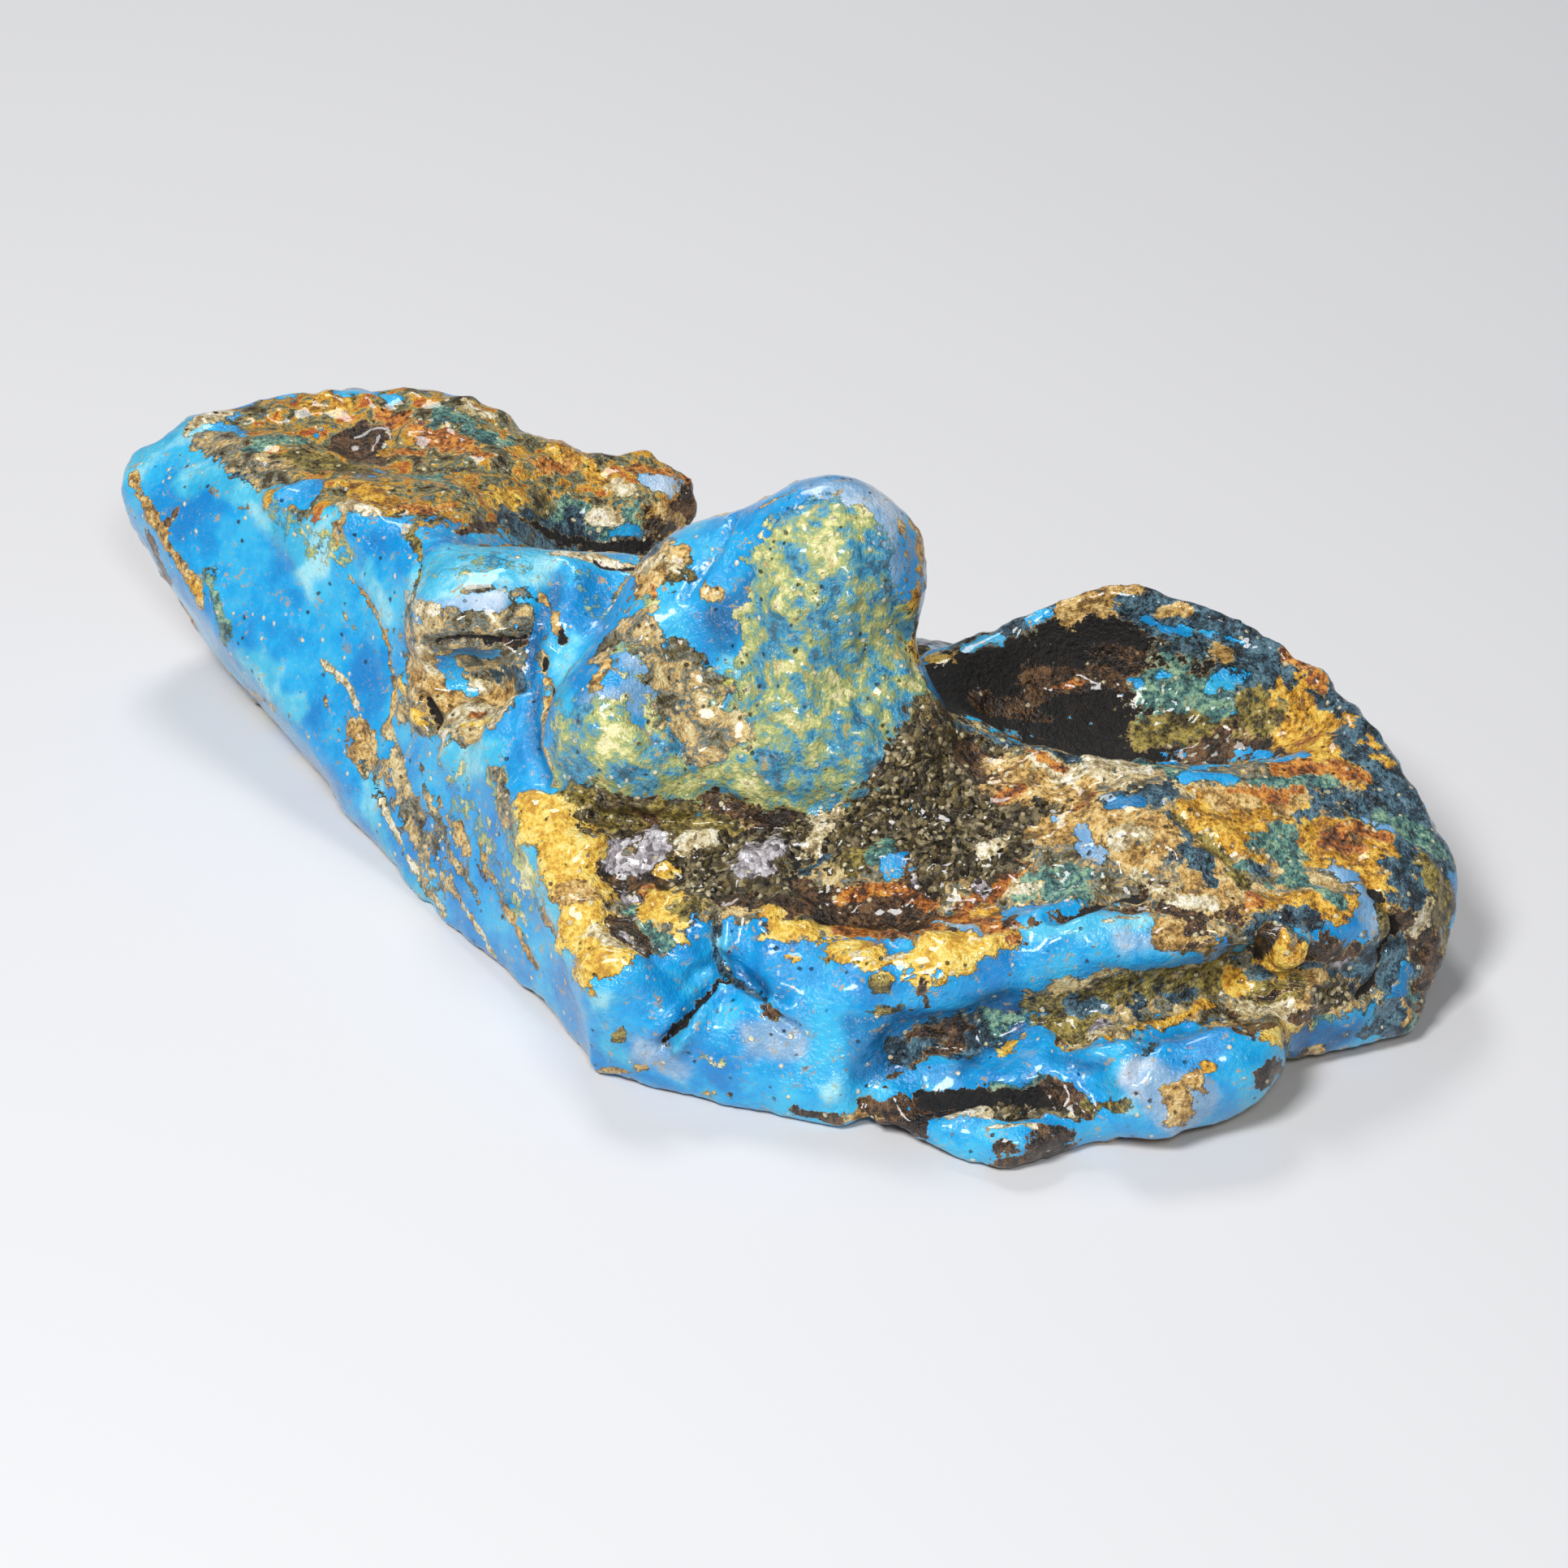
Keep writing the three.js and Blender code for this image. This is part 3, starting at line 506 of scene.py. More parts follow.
# The knob
# The highest boss of the lump, blue at the left and on top, stained yellow-green down its
# middle and gold along its right edge, and full of pores and swirls lower down.
KNOB = {
    "blue crown": ("azure", 2.6, 0, (915, 680), (950, 635), (1000, 615)),
    "grey-lilac top": ("lilac", 1.8, 0, (1010, 600), (1050, 602), (1085, 615)),
    "lilac right shoulder": ("lilac", 1.6, 0, (1075, 635), (1092, 660), (1098, 685)),
    "gold right edge": ("gold", 0.9, 0.15, (1118, 635), (1132, 665), (1134, 700), (1127, 730)),
    "ochre inside the gold": ("ochre", 0.4, 0, (1112, 650), (1118, 690), (1116, 720)),
    "gold spot": ("gold", 0.3, 0.1, (1118, 748), (1120, 758)),
    "brown right flank": ("brown", 0.9, 0, (1122, 770), (1120, 800), (1128, 835), (1140, 870)),
    "flank's yellow seam": ("olive", 0.3, 0, (1108, 790), (1116, 830), (1130, 868)),
    "teal-grey shoulder": ("slate", 0.8, 0, (1080, 705), (1092, 725), (1096, 745)),
    "deep blue hollow": ("deep", 1.1, -0.25, (1084, 760), (1092, 780), (1096, 800)),
    "azure left facet": ("azure", 2.6, 0, (850, 790), (870, 760), (900, 720), (915, 690)),
    "deep left facet": ("deep", 1.8, 0, (905, 790), (915, 760), (935, 735)),
    "dark line at the left": (
        "deep", 0.25, -0.45, (846, 735), (860, 715), (878, 688), (892, 662), (903, 638)),
    "ochre island": ("ochre", 0.5, 0.1, (873, 732), (884, 738)),
    "ochre wedge": ("ochre", 0.5, 0.1, (948, 762), (958, 752), (968, 742)),
    "top vein": ("ochre", 0.14, 0, (938, 656), (958, 643), (985, 636), (1010, 640)),
    "top vein on the left": ("ochre", 0.14, 0, (905, 650), (930, 630), (960, 612), (1000, 603)),
    "yellow-green dots": ("lime", 0.4, 0.1, (930, 690), (946, 688)),
    "pale green spine": ("moss", 1.6, 0.1, (1000, 690), (990, 720), (985, 755), (975, 790), (965, 820)),
    "spine's yellow": ("lime", 0.8, 0.1, (1004, 705), (996, 735), (982, 760)),
    "pale green on the right": ("moss", 0.8, 0, (1020, 660), (1050, 670), (1070, 690)),
    "dark olive mass": ("olive", 1.5, 0, (1010, 760), (1030, 750), (1052, 765), (1062, 790)),
    "slate patch": ("slate", 1.9, -0.1, (1020, 790), (1036, 812), (1030, 838)),
    "mossy field": ("moss", 2.0, 0, (1075, 830), (1060, 860), (1030, 885), (1000, 880)),
    "teal flank spots": ("teal", 0.7, 0, (1085, 835), (1100, 850), (1095, 880)),
    "cyan field": ("cyan", 1.6, 0, (930, 830), (940, 800), (960, 780)),
    "bright yellow": ("lime", 1.2, 0.1, (960, 850), (972, 878), (965, 905), (985, 930)),
    "yellow-green lobes": ("lime", 0.7, 0.15, (900, 905), (915, 890), (935, 885)),
    "leaf": ("lime", 0.7, 0.15, (816, 868), (840, 860), (870, 850), (905, 847)),
    "leaf's green edge": ("teal", 0.25, 0, (822, 877), (850, 872), (880, 862)),
    # Partly a painted highlight: pale lilac laid where the knob's left cheek shines.
    "lilac bar with a painted highlight": ("lilac", 1.3, 0.1, (735, 868), (765, 866), (800, 872)),
    "lower blue": ("azure", 1.0, 0, (760, 900), (800, 905), (850, 895), (880, 885)),
    "plum pores": ("lilac", 0.8, -0.05, (722, 900), (735, 920), (750, 930)),
    "mossy lower left": ("moss", 1.2, 0, (705, 920), (725, 945), (760, 960)),
    "moss along the belly": ("moss", 1.0, 0, (780, 935), (800, 950), (830, 945), (860, 940)),
    "blue eye lower": ("deep", 0.6, 0, (835, 930), (842, 922)),
    "swirl": ("cream", 0.1, 0.05, (822, 895), (842, 908), (848, 925), (832, 936)),
    "ochre lobes": ("sandy", 0.5, 0.1, (850, 915), (875, 935), (900, 945)),
    "blue lower middle": ("lilac", 0.9, 0, (885, 935), (900, 920), (915, 905)),
    "khaki lower lip": (
        "olive", 0.7, 0, (700, 962), (760, 985), (830, 996), (900, 992), (970, 1002),
        (1050, 1000), (1110, 978)),
    "mossy belly": ("moss", 2.2, 0, (940, 960), (990, 950), (1040, 940), (1090, 915)),
    "grey-green flake": ("teal", 0.5, 0.15, (998, 925), (1012, 912), (1028, 900)),
    "flake's pale edge": ("cream", 0.12, 0.1, (994, 918), (1003, 932), (1026, 926)),
    "blue triangle": ("azure", 0.7, 0.1, (1005, 970), (1022, 962), (1036, 968)),
    "blue chip": ("azure", 0.35, 0.1, (1048, 978), (1060, 970)),
    "blue stroke": ("deep", 0.6, 0, (1095, 940), (1110, 925), (1122, 915)),
    "azure stroke at the left": ("azure", 0.3, 0.1, (962, 966), (985, 964)),
    "olive right lip": ("olive", 1.1, 0, (1140, 890), (1148, 915), (1140, 945)),
    "teal eye of the lip": ("teal", 0.5, 0, (1128, 895), (1135, 905)),
    "brown outer lip": ("brown", 0.5, 0, (1150, 880), (1159, 915), (1155, 945)),
    "ochre flecks of the belly": ("ochre", 0.5, 0.1, (1030, 940), (1050, 920), (1070, 905)),
    "lime on the shoulder": ("lime", 0.6, 0.1, (958, 690), (980, 682), (1005, 688)),
    "lime by the grey top": ("lime", 0.4, 0.1, (1030, 700), (1046, 712), (1052, 730)),
    "khaki belly": ("olive", 1.1, 0.1, (880, 965), (930, 975), (980, 985), (1030, 975)),
    "gold in the belly": ("gold", 0.4, 0.1, (985, 905), (1000, 918), (1012, 905)),
    "tan by the hollow": ("ochre", 0.4, 0.1, (1062, 815), (1076, 832), (1070, 850)),
    "teal swirl": ("deep", 0.5, -0.1, (905, 870), (925, 862), (935, 875), (922, 888)),
    "blue on the belly": ("azure", 0.7, 0.1, (1020, 880), (1040, 868), (1062, 872)),
    "blue by the lime": ("azure", 0.9, 0.1, (925, 800), (935, 830), (925, 855)),
    "pale edge of the hollow": ("cream", 0.2, 0.15, (1010, 768), (1022, 780), (1040, 778), (1056, 790)),
    "olive down the right": ("olive", 0.9, 0.1, (1096, 820), (1090, 860), (1072, 905)),
    "blue under the crown": ("azure", 1.3, 0, (945, 665), (975, 655), (1000, 660)),
    "cream beads": ("cream", 0.3, 0.2, (965, 712), (975, 730), (968, 748)),
    "cream beads below": ("cream", 0.3, 0.2, (930, 868), (945, 878), (958, 872)),
    "brown under the belly": ("brown", 0.5, 0, (860, 985), (920, 992), (985, 998)),
}
lay(KNOB)

# The veils
# Thin films of dirt and weathered resin dull the blue without hiding it: on the wing's edge,
# the ridge, the fold and the front face, and down the foot of the left face.
VEILS = {
    "over the ridge": ("moss", 1.2, 0, (545, 700), (590, 690), (640, 700)),
    "down the fold": ("moss", 0.9, 0, (705, 705), (730, 730), (745, 760)),
    "down the foot of the face": ("sandy", 1.6, 0, (480, 960), (510, 1020), (545, 1080)),
    "green film beside it": ("moss", 1.4, 0, (560, 960), (590, 1030), (640, 1110)),
    "on the front face": ("moss", 0.8, 0, (800, 1290), (850, 1300), (900, 1310)),
    "on the wing's edge": ("moss", 0.8, 0, (350, 640), (400, 680), (440, 690)),
}
VEIL_COVER = 0.45
lay(VEILS, VEIL_COVER)

# The knob's film
# A mossy film of weathered resin, blue, green and yellow, lies over the knob's marks and hides
# most of their colours. Their relief stays.
KNOB_FILM = {
    "mossy middle": ("moss", 4.6, 0, (1010, 700), (1000, 770), (990, 840), (970, 900), (990, 940)),
    "mossy right": ("moss", 3.2, 0, (1075, 820), (1080, 880), (1060, 930)),
    "mossy belly's left": ("moss", 3.0, 0, (720, 930), (780, 935), (850, 930), (910, 940)),
    "sandy lobe": ("sandy", 2.0, 0, (830, 820), (840, 860), (880, 900)),
}
lay(KNOB_FILM)

# The crust under the knob
# Sand, bark and resin sugar caught under the overhang: khaki grit, black gaps between grey
# slabs, and clusters of pale crystals with painted glints, with a thick yellow rind along the left.
UNDER_KNOB = {
    # A groove under the knob's lip, painted black as the shadow there.
    "gap and painted shadow under the lip": (
        "black", 0.3, -0.6, (730, 1004), (800, 1014), (880, 1012), (960, 1024),
        (1040, 1014), (1105, 990)),
    "khaki grit": ("pepper", 1.7, 0, (740, 1010), (820, 1030), (900, 1035), (980, 1040), (1060, 1040)),
    "khaki grit lower": ("pepper", 1.2, 0, (800, 1090), (870, 1090), (940, 1095), (1010, 1110)),
    "olive grit": ("olive", 0.9, 0.1, (700, 985), (760, 1005), (830, 1010), (900, 1012)),
    "cream lump": ("cream", 0.6, 0.35, (850, 1040), (870, 1032)),
    "rusty gap": ("brown", 0.6, -0.3, (882, 990), (905, 1000)),
    "black gap": ("brown", 0.35, -0.5, (930, 1008), (950, 1012), (970, 1006)),
    "black gap at the left": ("brown", 0.3, -0.5, (782, 1000), (802, 1012)),
    "black round the slabs": ("black", 0.35, -0.3, (930, 1040), (960, 1035), (980, 1060), (978, 1085)),
    "grey slabs": ("silver", 0.7, 0.35, (912, 1078), (935, 1066), (958, 1055)),
    "grey slab behind": ("silver", 0.4, 0.3, (925, 1050), (950, 1045)),
    "cream beam": ("cream", 0.6, 0.4, (998, 1050), (1012, 1030), (1032, 1008)),
    "slate patch under the knob": ("slate", 0.7, 0.1, (990, 1075), (1015, 1062), (1040, 1045)),
    "rust by the slate patch": ("brown", 0.4, 0, (988, 1090), (1000, 1100)),
    "olive pebble": ("olive", 0.8, 0.5, (1045, 1075), (1052, 1062)),
    "black right of the pebble": (
        "pepper", 1.6, -0.2, (1080, 1010), (1105, 1000), (1130, 1040), (1140, 1090)),
    "nodule": ("azure", 0.9, 0.5, (1095, 1065), (1110, 1075)),
    "nodule's pink face": ("silver", 0.45, 0.1, (1120, 1072), (1125, 1084)),
    "teal rim of the nodule": ("teal", 0.5, 0.1, (1082, 1055), (1095, 1048)),
    "dark brown pocket": ("brown", 1.2, -0.4, (740, 1085), (775, 1090), (800, 1100)),
    "crystals on the left": ("silver", 1.0, 0.3, (732, 1045), (745, 1060)),
    "crystals in the middle": ("silver", 1.3, 0.3, (780, 1070), (800, 1055), (812, 1045)),
    "crystals below": ("silver", 0.8, 0.2, (772, 1110), (785, 1120)),
    "gold rind": ("yellow", 1.6, 0.45, (678, 1008), (698, 1060), (718, 1110), (735, 1160), (745, 1185)),
    "cream rind": ("cream", 0.9, 0.2, (735, 1150), (755, 1170), (775, 1180)),
    "rind's lower lobe": ("yellow", 1.0, 0.4, (745, 1192), (790, 1192), (835, 1184)),
    "ochre in the rind": ("ochre", 0.6, 0.1, (705, 1100), (728, 1108)),
    "dark pocket in the rind": ("brown", 0.9, -0.4, (760, 1140), (785, 1155), (800, 1170)),
    "crystals in the pocket": ("silver", 0.4, 0.2, (765, 1150), (790, 1172)),
    "teal slot": ("teal", 0.4, -0.3, (785, 1118), (800, 1145), (815, 1165)),
    "orange head of the flake": ("rust", 0.5, 0.45, (796, 1098), (806, 1108)),
    "yellow flake": ("yellow", 1.4, 0.45, (812, 1112), (828, 1130), (842, 1148)),
    "olive shelf": ("olive", 0.8, 0.15, (845, 1122), (870, 1116), (892, 1118)),
    "rusty grit": ("brown", 0.8, 0, (905, 1108), (940, 1112), (985, 1118)),
    "small yellow rind": ("yellow", 1.1, 0.4, (948, 1148), (972, 1148), (998, 1154)),
    "its olive tail": ("olive", 0.35, 0.3, (935, 1142), (950, 1155)),
}
lay(UNDER_KNOB)

# The front face
# A clean blue facet that meets the table, cut by a crack in the shape of a Y. Its lilac
# patches and the pale blue on the prow are partly painted highlights.
FRONT_FACE = {
    "upper blue": ("azure", 1.4, 0, (850, 1185), (900, 1150), (930, 1185), (990, 1190)),
    "azure between the cracks": ("azure", 1.5, 0.1, (770, 1240), (810, 1225), (850, 1215)),
    "left corner": ("cyan", 0.8, 0.1, (742, 1235), (748, 1270), (765, 1300)),
    "crack's stem": ("slate", 0.25, -0.9, (884, 1142), (884, 1170), (890, 1192), (896, 1204)),
    "stem's lit lip": ("cyan", 0.35, 0.5, (893, 1140), (892, 1165), (898, 1190)),
    "crack's left leg": (
        "black", 0.25, -1.1, (896, 1204), (877, 1218), (860, 1233), (846, 1254),
        (833, 1272), (815, 1290)),
    "left leg's lit lip": (
        "cyan", 0.4, 0.5, (902, 1212), (882, 1228), (866, 1242), (852, 1264), (836, 1284)),
    "crack's right leg": (
        "slate", 0.25, -0.8, (898, 1207), (926, 1219), (942, 1236), (957, 1254), (980, 1268)),
    "upper right leg": ("deep", 0.3, -0.7, (893, 1180), (910, 1197), (935, 1214), (966, 1229)),
    "brown in the right leg": ("brown", 0.3, 0, (940, 1240), (958, 1256)),
    "olive in the right leg": ("olive", 0.45, 0.1, (962, 1258), (975, 1266), (986, 1274)),
    "lilac sheen": ("lilac", 1.0, 0, (925, 1275), (945, 1268), (965, 1285)),
    # Partly a painted highlight on the lower left of the face.
    "lilac and painted highlight at the left": ("lilac", 1.0, 0, (790, 1300), (825, 1305), (850, 1320)),
    "olive dot": ("olive", 0.4, 0.1, (758, 1278), (766, 1274)),
    # Pale blue laid as painted highlight along the prow's lit edge and on its top.
    "painted highlight along the prow's edge": ("cyan", 0.8, 0.15, (1075, 1275), (1050, 1310), (1022, 1350)),
    "painted highlight on the prow's top": ("cyan", 1.8, 0, (1030, 1200), (1055, 1225), (1070, 1255)),
    "yellow dots": ("yellow", 0.25, 0.1, (974, 1182), (985, 1184)),
    "brown lower rim": ("brown", 0.35, 0, (985, 1368), (1010, 1376), (1035, 1382)),
    "ochre lower rim": ("ochre", 0.3, 0, (870, 1345), (900, 1352)),
}
lay(FRONT_FACE)

# The trough and the rim ledge
# Behind the ledge the resin split open and rusted. A yellow rind hangs over a bright blue
# ledge that runs along the front, above a dark recess.
LEDGE = {
    "rust trough": (
        "brown", 1.6, -0.3, (1040, 1125), (1080, 1120), (1130, 1125), (1180, 1140), (1235, 1145)),
    "rust rim of the trough": ("rust", 0.35, 0.2, (1035, 1108), (1070, 1098), (1110, 1100), (1145, 1115)),
    "rust in the trough": ("rust", 0.7, 0, (1100, 1150), (1150, 1140), (1200, 1125), (1240, 1150)),
    "orange slope": ("rust", 1.2, 0.1, (1190, 1118), (1215, 1098), (1245, 1088)),
    "orange slope's heart": ("gold", 0.3, 0, (1200, 1125), (1225, 1120)),
    "crystals on the slope": ("silver", 0.3, 0.1, (1205, 1090), (1214, 1098)),
    "orange back of the rind": ("rust", 0.45, 0.35, (1030, 1154), (1080, 1152), (1130, 1158), (1175, 1166)),
    "grey sliver": ("lilac", 0.25, 0.3, (1155, 1132), (1180, 1138), (1204, 1150), (1219, 1165)),
    "pale slab": ("teal", 1.0, 0.3, (1262, 1092), (1285, 1085), (1320, 1100)),
    "pale slab's cream": ("cream", 0.6, 0.1, (1262, 1100), (1275, 1094)),
    "dark slot": ("black", 0.5, -0.6, (1300, 1130), (1330, 1118), (1370, 1106), (1402, 1102)),
    "brown under the slot": ("brown", 0.5, -0.2, (1280, 1140), (1320, 1132), (1365, 1122), (1405, 1116)),
    "left end of the ledge": ("azure", 1.4, 0, (1040, 1215), (1080, 1232), (1130, 1225)),
    "ledge": ("azure", 1.5, 0.15, (1130, 1222), (1190, 1205), (1250, 1190), (1310, 1168), (1350, 1150)),
    "ledge's cyan back": ("cyan", 0.8, 0.1, (1280, 1150), (1310, 1140), (1350, 1136), (1400, 1136)),
    "ledge's cream back": ("cream", 0.2, 0.1, (1362, 1134), (1395, 1132), (1420, 1128)),
    "ledge's right run": ("azure", 0.7, 0.15, (1350, 1172), (1400, 1174), (1450, 1180), (1495, 1174)),
    "lilac on the right run": ("lilac", 0.6, 0, (1385, 1160), (1420, 1158), (1450, 1162)),
    "tan over the right run": ("ochre", 0.7, 0.05, (1435, 1150), (1465, 1158), (1490, 1165)),
    "brown fall across the ledge": ("brown", 0.25, -0.15, (1140, 1195), (1136, 1215), (1142, 1240)),
    "olive fall": ("olive", 0.7, 0, (1095, 1258), (1115, 1262), (1135, 1266)),
    "bright end of the ledge": ("azure", 0.4, 0.15, (1500, 1166), (1525, 1162), (1540, 1160)),
    "shadow edge": ("deep", 0.4, -0.2, (1090, 1278), (1140, 1262), (1190, 1252), (1235, 1240)),
    "yellow rind": (
        "yellow", 1.1, 0.4, (1025, 1170), (1060, 1178), (1100, 1182), (1140, 1180),
        (1190, 1178), (1235, 1172)),
    "cream in the rind": ("cream", 0.2, 0.1, (1055, 1185), (1075, 1188), (1112, 1180)),
    "rind's hanging tip": ("yellow", 0.6, 0.3, (1078, 1195), (1088, 1206)),
    "rind's green tip": ("olive", 0.35, 0.2, (1078, 1214), (1090, 1214)),
}
lay(LEDGE)

# The recess and the lower lobes
# Under the ledge the resin is deep blue and streaked, darkened with painted shade, with an olive
# band, small blue lobes and a hollow above the lowest lip.
RECESS = {
    # Deep blue resin, and painted shade where the ledge overhangs.
    "deep blue recess with painted shade": ("deep", 2.2, -0.2, (1075, 1310), (1120, 1295), (1180, 1280), (1225, 1262)),
    "slate streaks": ("slate", 1.1, 0, (1110, 1300), (1160, 1285), (1215, 1262)),
    "brown streak": ("brown", 0.4, 0, (1090, 1335), (1140, 1305), (1185, 1285)),
    "brown streak above": ("brown", 0.35, 0, (1120, 1282), (1165, 1270), (1200, 1262)),
    "blue streak": ("azure", 0.4, 0.15, (1065, 1345), (1110, 1330), (1160, 1315)),
    "blue foot": ("azure", 0.5, 0.1, (1100, 1352), (1130, 1345)),
    "plum corner": ("slate", 0.5, -0.1, (1205, 1262), (1225, 1255)),
    "teal shadow": ("teal", 0.7, -0.2, (1235, 1262), (1262, 1250)),
    "olive band": ("olive", 1.0, 0, (1290, 1235), (1340, 1228), (1390, 1220), (1450, 1212), (1490, 1205)),
    "olive band's left": ("olive", 0.8, 0, (1290, 1265), (1320, 1270), (1345, 1262)),
    "grey-violet in the band": ("slate", 0.6, 0, (1318, 1240), (1350, 1240)),
    "grey-violet on the right": ("slate", 0.8, 0, (1400, 1235), (1420, 1215), (1460, 1215)),
    "gold edge": (
        "gold", 0.45, 0.25, (1290, 1285), (1318, 1302), (1340, 1306), (1358, 1290),
        (1394, 1272), (1450, 1256), (1486, 1240)),
    "cream in the edge": ("cream", 0.5, 0.3, (1358, 1280), (1375, 1272), (1394, 1264)),
    "lilac chip": ("silver", 0.4, 0.2, (1346, 1278), (1356, 1266)),
    "speckled dark edge": ("brown", 0.35, 0, (1300, 1285), (1325, 1298)),
    "small blue lobe": ("azure", 1.2, 0.35, (1225, 1328), (1248, 1308), (1272, 1288)),
    "lobe's lilac": ("lilac", 0.4, 0.05, (1262, 1300), (1280, 1310)),
    "lobe's green tail": ("teal", 0.5, 0.1, (1235, 1344), (1270, 1336), (1295, 1320)),
    "yellow above the lobe": ("yellow", 0.35, 0.1, (1236, 1298), (1248, 1285)),
    "bright lower facet": ("azure", 1.4, 0.1, (1312, 1318), (1350, 1310), (1385, 1290)),
    "groove under the edge": (
        "deep", 0.35, -0.4, (1300, 1298), (1345, 1318), (1372, 1296), (1410, 1282), (1460, 1266)),
    "right lower field": ("azure", 2.4, 0, (1420, 1300), (1460, 1290), (1500, 1280)),
    "dark crease": ("slate", 0.3, -0.4, (1400, 1325), (1410, 1300), (1425, 1280)),
    "cyan foot": ("cyan", 0.8, 0, (1385, 1355), (1400, 1370)),
    "mauve foot": ("lilac", 1.6, 0.1, (1420, 1330), (1450, 1350), (1470, 1365)),
    "salmon patch": ("ochre", 0.8, 0.15, (1445, 1345), (1455, 1360), (1448, 1375)),
    "salmon patch on the right": ("ochre", 0.5, 0.1, (1470, 1330), (1478, 1342)),
    "gold specks": ("gold", 0.25, 0.1, (1485, 1312), (1492, 1316)),
    "pale crease": ("cream", 0.12, 0.1, (1512, 1285), (1516, 1305), (1520, 1325)),
    "blue facet": ("azure", 1.3, 0.1, (1535, 1300), (1548, 1290)),
    "rusty nodules": ("brown", 0.7, 0.2, (1296, 1350), (1315, 1358), (1325, 1370)),
    "ochre foot": ("olive", 0.6, 0.1, (1335, 1364), (1360, 1366), (1385, 1364)),
    "hollow": ("black", 0.8, -0.5, (1140, 1352), (1190, 1350), (1240, 1356), (1280, 1352)),
    "brown slope of the hollow": ("brown", 1.2, -0.2, (1085, 1380), (1120, 1375), (1150, 1385)),
    "grey floor of the hollow": ("pepper", 0.6, 0, (1230, 1370), (1270, 1374), (1310, 1380)),
    "white flake": ("cream", 0.35, 0.3, (1168, 1374), (1190, 1372), (1214, 1374)),
    "flake's edge": ("cream", 0.2, 0.2, (1164, 1384), (1160, 1394)),
    "lowest lip": ("azure", 0.8, 0.1, (1155, 1398), (1190, 1402), (1230, 1402), (1280, 1398), (1325, 1392)),
    "lip's cream line": ("cream", 0.2, 0.1, (1210, 1392), (1250, 1388), (1290, 1392)),
    "lip's left": ("azure", 0.5, 0.05, (1050, 1385), (1075, 1388)),
    "ochre left of the lip": ("ochre", 0.4, 0.05, (1050, 1376), (1080, 1378)),
    "brown underside": (
        "brown", 1.0, 0, (1120, 1415), (1170, 1425), (1220, 1436), (1270, 1428), (1320, 1410)),
}
lay(RECESS)
